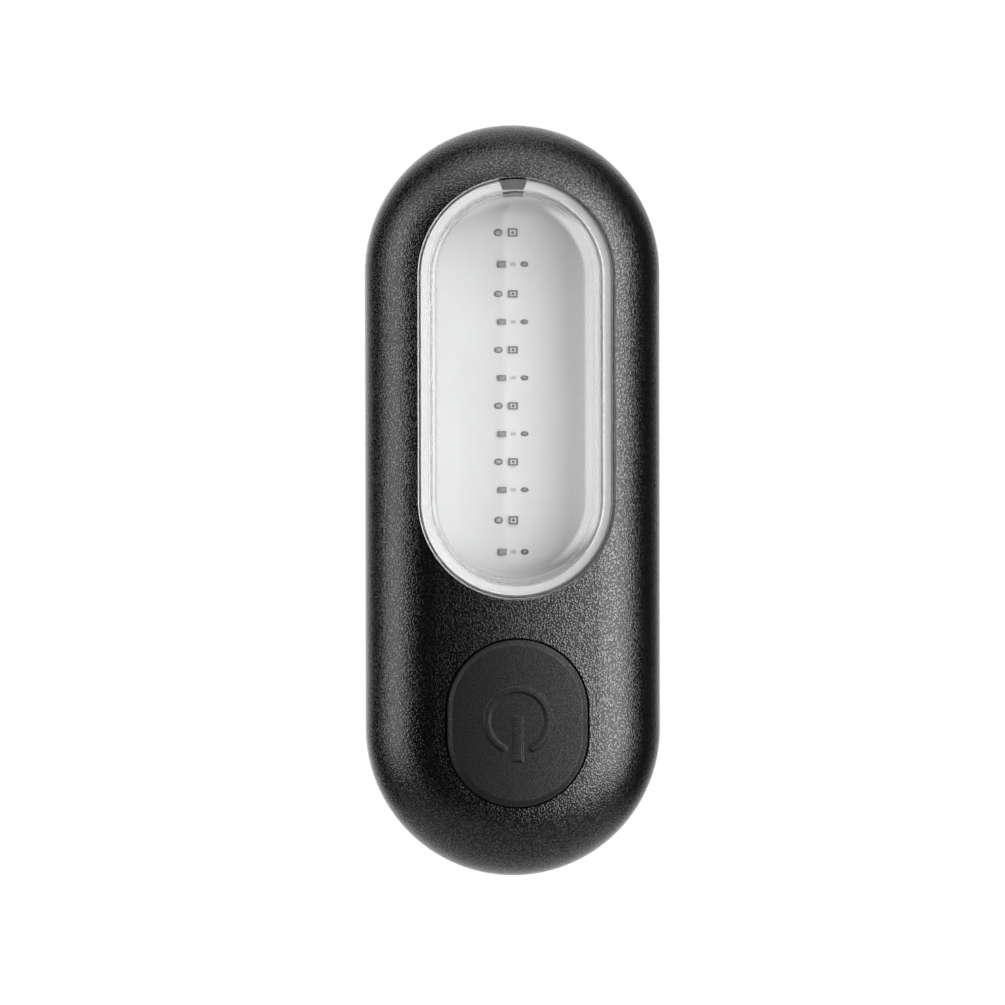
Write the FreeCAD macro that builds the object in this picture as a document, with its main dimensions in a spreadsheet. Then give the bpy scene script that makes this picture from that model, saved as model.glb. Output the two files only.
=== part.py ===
import FreeCAD, Part
import math
import os
import re
import Sketcher

# Rechargeable bicycle tail light that straps to a seat post.
# X to the rider's right as seen from behind, Z up along the light, the lens faces -Y.
# The origin is the lowest line of the saddle's valley, where the seat post bears.
# Depths in the sheet are measured forward from the seat post, so that y = -depth.

SIZES = {
    # Housing seen from the front
    "body_radius": 14.7,
    "body_half_straight": 22.8,
    # Front shell
    "front_height": 9.6,
    "crown_radius": 45.0,
    "edge_radius": 8.0,
    "front_wall": 1.6,
    "roof_thickness": 2.8,
    "seam_chamfer": 0.22,
    # Rear shell
    "rear_height": 7.0,
    "rear_wall": 1.6,
    "rear_edge_radius": 1.7,
    "rear_draft": 0.3,
    # Seal between the shells
    "seal_inset": 0.55,
    "seal_width": 0.6,
    "seal_height": 0.4,
    # Saddle for the seat post
    "post_radius": 15.9,
    "pad_thickness": 2.0,
    "pad_side_inset": 0.3,
    "pad_end_inset": 0.6,
    "cradle_floor": 2.2,
    "cradle_side_inset": 3.1,
    "cradle_half_length": 13.2,
    "cradle_corner": 1.2,
    "peg_radius": 1.6,
    "peg_tip_inset": 1.0,
    "peg_root": 0.5,
    "peg_depth": 0.1,
    # Lens
    "window_margin": 4.85,
    "window_drop": 0.28,
    "bridge": 3.73,
    "lens_gap": 0.12,
    "lens_flange_overlap": 1.15,
    "lens_flange_thickness": 1.0,
    "lens_pocket_gap": 0.15,
    "lens_gasket_thickness": 0.3,
    "lens_gasket_width": 0.9,
    "lens_step": 1.1,
    "lens_rim_width": 1.3,
    "dome_height": 3.29,
    "dome_crown_radius": 45.0,
    "dome_shoulder_radius": 4.0,
    "dome_corner_radius": 0.65,
    "dome_corner_tilt": 35.0,
    "dome_wall": 0.7,
    # White light frame and the key that locates it
    "frame_inner_inset": 0.05,
    "frame_gap": 0.05,
    "frame_lip_rise": 1.55,
    "frame_lip_inset": 0.4,
    "key_x": -0.25,
    "key_top_half_width": 1.3,
    "key_tip_half_width": 0.88,
    "key_tip_inset": 0.15,
    "key_tip_gap": 0.2,
    "key_gap": 0.1,
    "key_setback": 0.15,
    # Circuit board
    "pillar_height": 4.1,
    "board_thickness": 1.0,
    "board_gap": 0.35,
    "led_rows": 6,
    "first_row_rise": 3.73,
    "last_row_drop": 4.73,
    "led_side": 0.8,
    "led_x": -0.02,
    "led_height": 0.3,
    "resistor_length": 0.78,
    "resistor_width": 0.6,
    "resistor_height": 0.25,
    "resistor_shift": 1.05,
    "dot_radius": 0.35,
    "dot_height": 0.08,
    "dot_shift": 1.32,
    "via_radius": 0.33,
    "via_shift": 0.98,
    # Screws, two pairs
    "screw_radius": 1.0,
    "screw_head_radius": 1.65,
    "screw_head_height": 1.2,
    "screw_length": 8.4,
    "screw_hole_gap": 0.15,
    "screw_thread_gap": 0.04,
    "head_gap": 0.2,
    "head_depth": 2.2,
    "cross_length": 2.0,
    "cross_width": 0.5,
    "cross_depth": 0.7,
    "boss_radius": 2.0,
    "boss_roof_gap": 0.4,
    "boss_hole_margin": 0.6,
    "pillar_wall": 1.25,
    "screw_inset": 4.2,
    "upper_screw_rise": 6.2,
    "lower_screw_angle": 44.0,
    # Button and its switch
    "button_opening_radius": 7.2,
    "button_half_straight": 1.3,
    "button_rise": 0.9,
    "button_gap": 0.17,
    "button_proud": 0.2,
    "button_crown_radius": 41.5,
    "button_crown_flat": 0.6,
    "button_edge_radius": 0.45,
    "button_skin": 1.7,
    "button_rim": 1.2,
    "button_flange_overlap": 0.8,
    "button_flange_thickness": 0.9,
    "button_gasket_thickness": 0.4,
    "button_seat_gap": 0.05,
    "button_travel": 0.3,
    "button_post_radius": 2.0,
    "button_post_root": 0.3,
    "symbol_shift": 0.3,
    "symbol_radius": 3.4,
    "symbol_stroke": 0.6,
    "symbol_gap_angle": 28.0,
    "symbol_bar_width": 0.9,
    "symbol_bar_top": 0.45,
    "symbol_bar_length": 4.5,
    "symbol_rise": 0.08,
    "symbol_root": 0.5,
    "switch_side": 6.0,
    "switch_height": 3.5,
    "plunger_radius": 1.7,
    "plunger_rise": 1.2,
    "plunger_seat": 1.3,
    "plunger_fit": 0.05,
    "plunger_gap": 0.05,
    # Charging socket and its cover
    "socket_half_width": 4.47,
    "socket_half_height": 1.63,
    "socket_length": 7.35,
    "socket_wall": 0.3,
    "socket_back_wall": 1.0,
    "socket_lip": 0.8,
    "tongue_half_width": 3.1,
    "tongue_thickness": 0.7,
    "tongue_length": 5.6,
    "port_gap": 0.3,
    "cover_thickness": 0.95,
    "cover_half_height": 2.2,
    "cover_half_angle": 25.0,
    "cover_gap": 0.08,
    "cover_plug_depth": 0.5,
    "cover_plug_gap": 0.35,
    "anchor_angle": 9.0,
    "anchor_gap_angle": 0.5,
    "well_margin_angle": 1.0,
    # Battery and its leads
    "battery_width": 20.0,
    "battery_length": 35.0,
    "battery_thickness": 3.4,
    "battery_round": 1.2,
    "battery_key_gap": 1.07,
    "foam_thickness": 0.3,
    "foam_inset": 1.0,
    "lead_radius": 0.45,
    "lead_shift": 3.2,
    "lead_drop": 4.2,
    "lead_bend_share": 0.45,
    # How far a cutting shape runs past what it cuts
    "overrun": 1.0,
}

# Chips on the back of the board: x, drop below the leads' ends, width, length and height of each
CHIPS = (
    (-3.6, 3.85, 4.9, 3.9, 1.4),
    (3.4, 4.05, 2.9, 1.6, 1.1),
    (3.6, 8.25, 3.0, 3.0, 0.9),
    (-3.4, 9.25, 1.6, 0.8, 0.6),
    (-3.4, 11.65, 1.6, 0.8, 0.6),
)

# Places that follow from the sizes
PLACES = {
    "back_depth": "pad_thickness + cradle_floor",
    "parting_depth": "back_depth + rear_height",
    "crest_depth": "parting_depth + front_height",
    "seat_depth": "crest_depth - roof_thickness",
    "crown_centre": "crest_depth - crown_radius",
    "edge_centre_x": "body_radius - edge_radius",
    "edge_centre_depth": "crown_centre + sqrt((crown_radius - edge_radius)^2 - edge_centre_x^2)",
    "crown_share": "crown_radius / (crown_radius - edge_radius)",
    "crown_end_x": "edge_centre_x * crown_share",
    "crown_end_depth": "crown_centre + (edge_centre_depth - crown_centre) * crown_share",
    "inner_radius": "body_radius - front_wall",
    "inner_edge_radius": "edge_radius - front_wall",
    "inner_edge_x": "edge_centre_x + sqrt(inner_edge_radius^2 - (seat_depth - edge_centre_depth)^2)",
    "floor_depth": "back_depth + rear_wall",
    "board_back_depth": "floor_depth + pillar_height",
    "board_front_depth": "board_back_depth + board_thickness",
    "board_radius": "body_radius - rear_draft - rear_wall - board_gap",
    "button_z": "button_rise - body_half_straight",
    "opening_radius": "body_radius - window_margin",
    "lens_low_z": "button_z + button_half_straight + button_opening_radius + bridge + opening_radius",
    "lens_top_z": "body_half_straight - window_drop",
    "lens_half_straight": "(lens_top_z - lens_low_z) / 2",
    "lens_z": "lens_top_z - lens_half_straight",
    "lens_flange_radius": "opening_radius + lens_flange_overlap",
    "dome_half_width": "opening_radius - lens_rim_width",
    "frame_inner_radius": "dome_half_width - frame_inner_inset",
    "frame_lip_radius": "opening_radius - frame_lip_inset",
    "key_taper_z": "lens_top_z + frame_lip_radius",
    "key_tip_z": "lens_top_z + dome_half_width - key_tip_inset",
    "key_tip_end_z": "key_taper_z - key_tip_gap",
    "first_row_z": "lens_top_z + first_row_rise",
    "last_row_z": "lens_low_z - last_row_drop",
    "row_pitch": "(first_row_z - last_row_z) / (2 * led_rows - 1)",
    "upper_screw_x": "body_radius - screw_inset",
    "upper_screw_z": "body_half_straight - upper_screw_rise",
    "lower_screw_x": "upper_screw_x * cos(lower_screw_angle)",
    "lower_screw_z": "body_half_straight + upper_screw_x * sin(lower_screw_angle)",
    "gasket_back_depth": "seat_depth - lens_gasket_thickness",
    "flange_back_depth": "gasket_back_depth - lens_flange_thickness",
    "flange_front_depth": "seat_depth + lens_step",
    "dome_top_depth": "flange_front_depth + dome_height",
    "dome_centre": "dome_top_depth - dome_crown_radius",
    "dome_corner_x": "dome_half_width - dome_corner_radius",
    "dome_corner_step": "dome_shoulder_radius - dome_corner_radius",
    "dome_shoulder_x": "dome_corner_x - dome_corner_step * sin(dome_corner_tilt)",
    "dome_shoulder_depth": "dome_centre"
                           " + sqrt((dome_crown_radius - dome_shoulder_radius)^2 - dome_shoulder_x^2)",
    "dome_share": "dome_crown_radius / (dome_crown_radius - dome_shoulder_radius)",
    "dome_corner_depth": "dome_shoulder_depth + dome_corner_step * cos(dome_corner_tilt)",
    "hollow_width": "dome_half_width - dome_wall",
    "hollow_shoulder_radius": "dome_shoulder_radius - dome_wall",
    "hollow_edge_depth": "dome_shoulder_depth"
                         " + sqrt(hollow_shoulder_radius^2 - (hollow_width - dome_shoulder_x)^2)",
    "hollow_top_depth": "dome_shoulder_depth + hollow_shoulder_radius",
    "frame_front_depth": "flange_back_depth - frame_gap",
    "lip_front_depth": "frame_front_depth + frame_lip_rise",
    "lip_roof_depth": "lip_front_depth + frame_gap",
    "valley_radius": "post_radius + pad_thickness",
    "cradle_half_width": "body_radius - cradle_side_inset",
    "pad_half_width": "cradle_half_width - pad_side_inset",
    "pad_half_length": "cradle_half_length - pad_end_inset",
    "peg_reach": "body_radius - peg_tip_inset",
    "button_crest_depth": "crest_depth + button_proud",
    "button_radius": "button_opening_radius - button_gap",
    "button_crown_centre": "button_crest_depth - button_crown_radius",
    "button_edge_x": "button_radius - button_edge_radius",
    "button_edge_reach": "button_edge_x - button_crown_flat",
    "button_edge_depth": "button_crown_centre"
                         " + sqrt((button_crown_radius - button_edge_radius)^2 - button_edge_reach^2)",
    "button_share": "button_crown_radius / (button_crown_radius - button_edge_radius)",
    "button_flange_radius": "button_radius + button_flange_overlap",
    "button_flange_front": "seat_depth - button_gasket_thickness - button_seat_gap",
    "button_flange_back": "button_flange_front - button_flange_thickness",
    "button_inner_depth": "button_crest_depth - button_skin",
    "switch_top_depth": "board_front_depth + switch_height",
    "plunger_top_depth": "switch_top_depth + plunger_rise",
    "head_seat_depth": "back_depth + head_depth",
    "screw_tip_depth": "head_seat_depth + screw_length",
    "socket_depth": "board_back_depth - socket_half_height",
    "port_floor_radius": "body_radius - cover_thickness - cover_gap",
    "socket_mouth_z": "body_half_straight + port_floor_radius - socket_lip",
    "battery_back_depth": "floor_depth + foam_thickness",
    "battery_mid_depth": "battery_back_depth + battery_thickness / 2",
    "battery_z": "key_tip_z - battery_key_gap - battery_length / 2",
    "lead_start_z": "battery_z - battery_length / 2",
    "lead_end_z": "lead_start_z - lead_drop",
}

doc = FreeCAD.newDocument("tail_light")
sizes = doc.addObject("Spreadsheet::Sheet", "Sizes")
for row, (alias, content) in enumerate(list(SIZES.items()) + list(PLACES.items()), 1):
    text = f"={content}" if isinstance(content, str) else str(content)
    sizes.set(f"A{row}", alias)
    sizes.set(f"B{row}", text)
    sizes.setAlias(f"B{row}", alias)
doc.recompute()

ALIAS = re.compile(r"\b(" + "|".join(list(SIZES) + list(PLACES)) + r")\b")
sub_parts = []


def full(expression):
    """The expression with each alias given its sheet."""
    return ALIAS.sub(r"Sizes.\1", str(expression))


def value(expression):
    """The number that an expression gives now."""
    result = sizes.evalExpression(full(expression))
    return float(getattr(result, "Value", result))


def bind(thing, prop, expression):
    thing.setExpression(prop, full(expression))


def place(thing, x="0", y="0", z="0"):
    for axis, expression in (("x", x), ("y", y), ("z", z)):
        bind(thing, f"Placement.Base.{axis}", expression)


def finished(thing, label):
    """Name a finished sub-part and keep it for export."""
    thing.Label = label
    sub_parts.append(thing)
    return thing


def new_body(label):
    body = doc.addObject("PartDesign::Body", label + "_body")
    return finished(body, label)


def plane(body, role):
    return next(f for f in body.Origin.OriginFeatures if f.Role == role)


def sketch_on(body, name, role, offset="0"):
    """A sketch on an origin plane of its body, moved along the plane's normal."""
    sketch = body.newObject("Sketcher::SketchObject", f"{body.Label}_{name}")
    sketch.AttachmentSupport = (plane(body, role), [""])
    sketch.MapMode = "FlatFace"
    bind(sketch, "AttachmentOffset.Base.z", offset)
    return sketch


def pin_point(sketch, geometry, position, x, y):
    """Fix a point of the sketch at two bound coordinates."""
    for kind, expression, axis in (("DistanceX", x, -2), ("DistanceY", y, -1)):
        if str(expression) == "0":
            sketch.addConstraint(Sketcher.Constraint("PointOnObject", geometry, position, axis))
            continue
        number = value(expression)
        constraint = Sketcher.Constraint(kind, -1, 1, geometry, position, number)
        index = sketch.addConstraint(constraint)
        bind(sketch, f"Constraints[{index}]", expression)


def bind_radius(sketch, geometry, expression):
    index = sketch.addConstraint(Sketcher.Constraint("Radius", geometry, value(expression)))
    bind(sketch, f"Constraints[{index}]", expression)


def arc_between(start, end, radius, turn):
    """An arc of under a half circle from start to end, turning left (1) or right (-1)."""
    chord = end - start
    half = chord.Length / 2
    rise = math.sqrt(max(radius * radius - half * half, 0.0))
    left = FreeCAD.Vector(-chord.y, chord.x, 0).normalize()
    centre = start + chord * 0.5 + left * (rise * turn)
    first, last = (start, end) if turn > 0 else (end, start)
    angles = [math.atan2(p.y - centre.y, p.x - centre.x) for p in (first, last)]
    if angles[1] < angles[0]:
        angles[1] += 2 * math.pi
    circle = Part.Circle(centre, FreeCAD.Vector(0, 0, 1), radius)
    return Part.ArcOfCircle(circle, angles[0], angles[1])


def outline(sketch, corners):
    """A closed outline. A corner is (x, y), or (x, y, radius, turn) where an arc starts."""
    spots = [FreeCAD.Vector(value(c[0]), value(c[1]), 0) for c in corners]
    ends = []
    for index, corner in enumerate(corners):
        start = spots[index]
        end = spots[(index + 1) % len(corners)]
        if len(corner) == 2:
            geometry = sketch.addGeometry(Part.LineSegment(start, end))
            ends.append((geometry, 1, 2))
        else:
            geometry = sketch.addGeometry(arc_between(start, end, value(corner[2]), corner[3]))
            ends.append((geometry, 1, 2) if corner[3] > 0 else (geometry, 2, 1))
    for index, corner in enumerate(corners):
        this = ends[index]
        before = ends[index - 1]
        sketch.addConstraint(Sketcher.Constraint("Coincident", before[0], before[2], this[0], this[1]))
        pin_point(sketch, this[0], this[1], corner[0], corner[1])
        if len(corner) > 2:
            bind_radius(sketch, this[0], corner[2])
    return sketch


def stadium(sketch, radius, half_straight, z="0"):
    """A stadium with its straight sides along the sketch's Y axis."""
    low = f"{z} - ({half_straight})"
    high = f"{z} + ({half_straight})"
    return slot(sketch, radius, (("0", low), ("0", high)), math.pi)


def slot(sketch, radius, centres, lower_angle):
    """A slot between two centres; its first end is the half circle that starts at lower_angle."""
    size = value(radius)
    normal = FreeCAD.Vector(0, 0, 1)
    spots = [FreeCAD.Vector(value(x), value(y), 0) for x, y in centres]
    side = FreeCAD.Vector(math.cos(lower_angle), math.sin(lower_angle), 0) * size
    first = sketch.addGeometry(Part.ArcOfCircle(
        Part.Circle(spots[0], normal, size), lower_angle, lower_angle + math.pi))
    right = sketch.addGeometry(Part.LineSegment(spots[0] - side, spots[1] - side))
    second = sketch.addGeometry(Part.ArcOfCircle(
        Part.Circle(spots[1], normal, size), lower_angle + math.pi, lower_angle + 2 * math.pi))
    left = sketch.addGeometry(Part.LineSegment(spots[1] + side, spots[0] + side))
    ring = ((first, right), (right, second), (second, left), (left, first))
    for before, after in ring:
        sketch.addConstraint(Sketcher.Constraint("Tangent", before, 2, after, 1))
    for arc, (x, y) in zip((first, second), centres):
        pin_point(sketch, arc, 3, x, y)
    bind_radius(sketch, first, radius)
    return sketch


def rounded_block(sketch, half_width, half_length, corner):
    """A rectangle about the sketch's origin with rounded corners."""
    wide = f"{half_width} - {corner}"
    long = f"{half_length} - {corner}"
    return outline(sketch, [
        (f"-({wide})", f"-({half_length})"),
        (wide, f"-({half_length})", corner, 1),
        (half_width, f"-({long})"),
        (half_width, long, corner, 1),
        (wide, half_length),
        (f"-({wide})", half_length, corner, 1),
        (f"-({half_width})", long),
        (f"-({half_width})", f"-({long})", corner, 1),
    ])


def circle(sketch, radius, x, y):
    spot = FreeCAD.Vector(value(x), value(y), 0)
    geometry = sketch.addGeometry(Part.Circle(spot, FreeCAD.Vector(0, 0, 1), value(radius)))
    pin_point(sketch, geometry, 3, x, y)
    bind_radius(sketch, geometry, radius)
    return sketch


def pad(body, sketch, length, backward=False):
    """Add material along the sketch's normal, or backward against it."""
    feature = body.newObject("PartDesign::Pad", sketch.Name + "_pad")
    feature.Profile = sketch
    bind(feature, "Length", length)
    feature.Reversed = backward
    doc.recompute()
    return feature


def pocket(body, sketch, length, forward=False):
    """Cut against the sketch's normal, or forward along it, and see that it cuts."""
    before = body.Shape.Volume
    feature = body.newObject("PartDesign::Pocket", sketch.Name + "_pocket")
    feature.Profile = sketch
    bind(feature, "Length", length)
    feature.Reversed = forward
    doc.recompute()
    if not body.Shape.Volume < before:
        raise RuntimeError(f"{feature.Name} cuts nothing")
    return feature


def mirror(body, role):
    feature = body.newObject("PartDesign::Mirrored", f"{body.Label}_mirror_{role[:2].lower()}")
    feature.TransformMode = "Whole shape"
    feature.MirrorPlane = (plane(body, role), [""])
    body.Tip = feature
    doc.recompute()
    return feature


def sweep_round(body, corners, half_straight):
    """Carry a half section along the straight side and a quarter turn, then mirror it twice."""
    section = outline(sketch_on(body, "section", "XY_Plane", half_straight), corners)
    doc.recompute()
    pad(body, section, half_straight, backward=True)
    quarter = body.newObject("PartDesign::Revolution", section.Name + "_quarter")
    quarter.Profile = section
    quarter.ReferenceAxis = (section, ["V_Axis"])
    quarter.Angle = 90
    quarter.Reversed = True
    doc.recompute()
    mirror(body, "YZ_Plane")
    mirror(body, "XY_Plane")


def band(inner, outer, back, front):
    """A rectangular half section between two radii and two depths."""
    return [(inner, f"-({back})"), (outer, f"-({back})"), (outer, f"-({front})"), (inner, f"-({front})")]


SCREWS = [(f"{side}{pair}_screw_x", f"-{pair}_screw_z")
          for pair in ("upper", "lower") for side in ("", "-")]


def front_shell():
    body = new_body("front_shell")
    sweep_round(body, [
        ("0", "-crest_depth", "crown_radius", 1),
        ("crown_end_x", "-crown_end_depth", "edge_radius", 1),
        ("body_radius", "-edge_centre_depth"),
        ("body_radius", "-parting_depth - seam_chamfer"),
        ("body_radius - seam_chamfer", "-parting_depth"),
        ("inner_radius", "-parting_depth"),
        ("inner_radius", "-edge_centre_depth", "inner_edge_radius", -1),
        ("inner_edge_x", "-seat_depth"),
        ("0", "-seat_depth"),
    ], "body_half_straight")
    bosses = sketch_on(body, "bosses", "XZ_Plane", "board_front_depth")
    for x, z in SCREWS:
        circle(bosses, "boss_radius", x, z)
    doc.recompute()
    pad(body, bosses, "seat_depth - boss_roof_gap - board_front_depth")
    recess = stadium(sketch_on(body, "lens_seat", "XZ_Plane", "seat_depth"),
                     "lens_flange_radius + lens_pocket_gap", "lens_half_straight", "lens_z")
    pocket(body, recess, "seat_depth - parting_depth + overrun")
    window = stadium(sketch_on(body, "window", "XZ_Plane", "crest_depth + overrun"),
                     "opening_radius", "lens_half_straight", "lens_z")
    pocket(body, window, "roof_thickness + 2 * overrun")
    port = stadium(sketch_on(body, "button_port", "XZ_Plane", "crest_depth + overrun"),
                   "button_opening_radius", "button_half_straight", "button_z")
    pocket(body, port, "roof_thickness + 2 * overrun")
    holes = sketch_on(body, "boss_holes", "XZ_Plane", "screw_tip_depth + boss_hole_margin")
    for x, z in SCREWS:
        circle(holes, "screw_radius + screw_thread_gap", x, z)
    pocket(body, holes, "screw_tip_depth + boss_hole_margin - board_front_depth + overrun")


def rear_shell():
    body = new_body("rear_shell")
    sweep_round(body, [
        ("0", "-back_depth"),
        ("0", "-floor_depth"),
        ("body_radius - rear_draft - rear_wall", "-floor_depth"),
        ("body_radius - rear_draft - rear_wall", "-parting_depth"),
        ("body_radius - seal_inset - seal_width", "-parting_depth"),
        ("body_radius - seal_inset - seal_width", "-parting_depth + seal_height"),
        ("body_radius - seal_inset", "-parting_depth + seal_height"),
        ("body_radius - seal_inset", "-parting_depth"),
        ("body_radius - seam_chamfer", "-parting_depth"),
        ("body_radius", "-parting_depth + seam_chamfer"),
        ("body_radius - rear_draft", "-back_depth - rear_edge_radius", "rear_edge_radius", 1),
        ("body_radius - rear_draft - rear_edge_radius", "-back_depth"),
    ], "body_half_straight")
    cradle = rounded_block(sketch_on(body, "cradle", "XZ_Plane", "back_depth + rear_wall / 2"),
                           "cradle_half_width", "cradle_half_length", "cradle_corner")
    doc.recompute()
    pad(body, cradle, "back_depth + rear_wall / 2 + post_radius"
                      " - sqrt(valley_radius^2 - cradle_half_width^2)", backward=True)
    valley = sketch_on(body, "valley", "XY_Plane", "-cradle_half_length - overrun")
    circle(valley, "valley_radius", "0", "post_radius")
    pocket(body, valley, "2 * (cradle_half_length + overrun)", forward=True)
    for side, sign in (("left", "-"), ("right", "")):
        peg = sketch_on(body, f"{side}_peg", "YZ_Plane", f"{sign}peg_reach")
        circle(peg, "peg_radius", "-peg_depth", "0")
        doc.recompute()
        pad(body, peg, "peg_reach - cradle_half_width + peg_root", backward=(sign == ""))
    pillars = sketch_on(body, "pillars", "XZ_Plane", "floor_depth - rear_wall / 2")
    for x, z in SCREWS:
        circle(pillars, "screw_radius + screw_hole_gap + pillar_wall", x, z)
    doc.recompute()
    pad(body, pillars, "pillar_height + rear_wall / 2")
    key = outline(sketch_on(body, "key", "XZ_Plane", "floor_depth - rear_wall / 2"), [
        ("key_x - key_top_half_width", "key_taper_z"),
        ("key_x - key_tip_half_width", "key_tip_z"),
        ("key_x + key_tip_half_width", "key_tip_z"),
        ("key_x + key_top_half_width", "key_taper_z"),
        ("key_x + key_top_half_width", "lens_top_z + lens_flange_radius"),
        ("key_x - key_top_half_width", "lens_top_z + lens_flange_radius"),
    ])
    doc.recompute()
    pad(body, key, "frame_front_depth - key_setback - floor_depth + rear_wall / 2")
    key_tip = outline(sketch_on(body, "key_tip", "XZ_Plane", "board_front_depth"), [
        ("key_x - key_top_half_width", "key_tip_end_z"),
        ("key_x - key_tip_half_width", "key_tip_z"),
        ("key_x + key_tip_half_width", "key_tip_z"),
        ("key_x + key_top_half_width", "key_tip_end_z"),
    ])
    doc.recompute()
    pad(body, key_tip, "lip_front_depth - key_setback - board_front_depth")
    heads = sketch_on(body, "head_wells", "XZ_Plane", "head_seat_depth")
    holes = sketch_on(body, "screw_holes", "XZ_Plane", "board_back_depth + overrun")
    for x, z in SCREWS:
        circle(heads, "screw_head_radius + head_gap", x, z)
        circle(holes, "screw_radius + screw_hole_gap", x, z)
    pocket(body, heads, "head_depth + overrun")
    pocket(body, holes, "board_back_depth - back_depth + 2 * overrun")
    well = sketch_on(body, "cover_well", "XZ_Plane", "socket_depth + cover_half_height + cover_gap")
    arc_band(well, "port_floor_radius", "body_radius + overrun",
             "-(cover_half_angle + anchor_angle + well_margin_angle)",
             "cover_half_angle + well_margin_angle")
    pocket(body, well, "2 * (cover_half_height + cover_gap)")
    mouth = sketch_on(body, "port", "XY_Plane", "-(body_half_straight + body_radius + overrun)")
    reach = "socket_half_width - socket_half_height"
    slot(mouth, "socket_half_height + port_gap",
         ((f"-({reach})", "-socket_depth"), (reach, "-socket_depth")), math.pi / 2)
    pocket(body, mouth, "rear_wall + rear_draft + 2 * overrun", forward=True)


def arc_band(sketch, inner, outer, first, last):
    """A piece of ring about the lower end's centre, between two angles from straight down."""
    low = "-body_half_straight"

    def spot(radius, angle):
        return f"({radius}) * sin({angle})", f"{low} - ({radius}) * cos({angle})"

    return outline(sketch, [
        (*spot(outer, first), outer, 1),
        spot(outer, last),
        (*spot(inner, last), inner, -1),
        spot(inner, first),
    ])


def swept(label, corners, half_straight, z):
    """A sub-part that is one section carried round a stadium centred at z."""
    body = new_body(label)
    sweep_round(body, corners, half_straight)
    place(body, z=z)
    return body


def lens():
    swept("lens", [
        ("0", "-dome_top_depth", "dome_crown_radius", 1),
        ("dome_shoulder_x * dome_share",
         "-(dome_centre + (dome_shoulder_depth - dome_centre) * dome_share)", "dome_shoulder_radius", 1),
        ("dome_corner_x + dome_corner_radius * sin(dome_corner_tilt)",
         "-(dome_corner_depth + dome_corner_radius * cos(dome_corner_tilt))", "dome_corner_radius", 1),
        ("dome_half_width", "-dome_corner_depth"),
        ("dome_half_width", "-flange_front_depth"),
        ("opening_radius - lens_gap", "-flange_front_depth"),
        ("opening_radius - lens_gap", "-gasket_back_depth"),
        ("lens_flange_radius", "-gasket_back_depth"),
        ("lens_flange_radius", "-flange_back_depth"),
        ("frame_lip_radius + frame_gap", "-flange_back_depth"),
        ("frame_lip_radius + frame_gap", "-lip_roof_depth"),
        ("hollow_width", "-lip_roof_depth"),
        ("hollow_width", "-hollow_edge_depth", "hollow_shoulder_radius", -1),
        ("dome_shoulder_x", "-hollow_top_depth"),
        ("0", "-hollow_top_depth"),
    ], "lens_half_straight", "lens_z")
    swept("lens_gasket", band("lens_flange_radius - lens_gasket_width", "lens_flange_radius",
                              "gasket_back_depth", "seat_depth"), "lens_half_straight", "lens_z")


def key_notch(body, start, depth):
    """The notch that slips over the locating key, in a piece centred at the given height."""
    top = f"body_half_straight + body_radius - ({start})"
    notch = outline(sketch_on(body, "key_notch", "XZ_Plane", "crest_depth"), [
        ("key_x - key_top_half_width - key_gap", f"key_taper_z - ({start})"),
        ("key_x - key_tip_half_width - key_gap", f"key_tip_z - key_gap - ({start})"),
        ("key_x + key_tip_half_width + key_gap", f"key_tip_z - key_gap - ({start})"),
        ("key_x + key_top_half_width + key_gap", f"key_taper_z - ({start})"),
        ("key_x + key_top_half_width + key_gap", top),
        ("key_x - key_top_half_width - key_gap", top),
    ])
    doc.recompute()
    pocket(body, notch, depth)


def light_frame():
    body = swept("light_frame", [
        ("frame_inner_radius", "-board_front_depth"),
        ("lens_flange_radius", "-board_front_depth"),
        ("lens_flange_radius", "-frame_front_depth"),
        ("frame_lip_radius", "-frame_front_depth"),
        ("frame_lip_radius", "-lip_front_depth"),
        ("frame_inner_radius", "-lip_front_depth"),
    ], "lens_half_straight", "lens_z")
    key_notch(body, "lens_z", "crest_depth")


def main_board():
    body = swept("main_board", band("0", "board_radius", "board_back_depth", "board_front_depth"),
                 "body_half_straight", "0")
    key_notch(body, "0", "crest_depth")
    holes = sketch_on(body, "screw_holes", "XZ_Plane", "board_front_depth + overrun")
    for x, z in SCREWS:
        circle(holes, "screw_radius + screw_hole_gap", x, z)
    pocket(body, holes, "board_thickness + 2 * overrun")


def box(name, corner, lengths):
    """A block with its low corner and its three lengths bound."""
    thing = doc.addObject("Part::Box", name)
    for prop, expression in zip(("Length", "Width", "Height"), lengths):
        bind(thing, prop, expression)
    place(thing, *corner)
    return thing


def rod(name, radius, length, base, direction):
    """A cylinder from base along a direction."""
    thing = doc.addObject("Part::Cylinder", name)
    bind(thing, "Radius", radius)
    bind(thing, "Height", length)
    thing.Placement.Rotation = FreeCAD.Rotation(FreeCAD.Vector(0, 0, 1), FreeCAD.Vector(*direction))
    place(thing, *base)
    return thing


def joined(name, things):
    fuse = doc.addObject("Part::MultiFuse", name)
    fuse.Shapes = things
    return fuse


def cut(name, base, tool):
    thing = doc.addObject("Part::Cut", name)
    thing.Base = base
    thing.Tool = tool
    return thing


def group(label, things):
    """Identical separate solids kept as one node."""
    compound = doc.addObject("Part::Compound", label + "_group")
    compound.Links = things
    return finished(compound, label)


FORWARD = (0, -1, 0)


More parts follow.
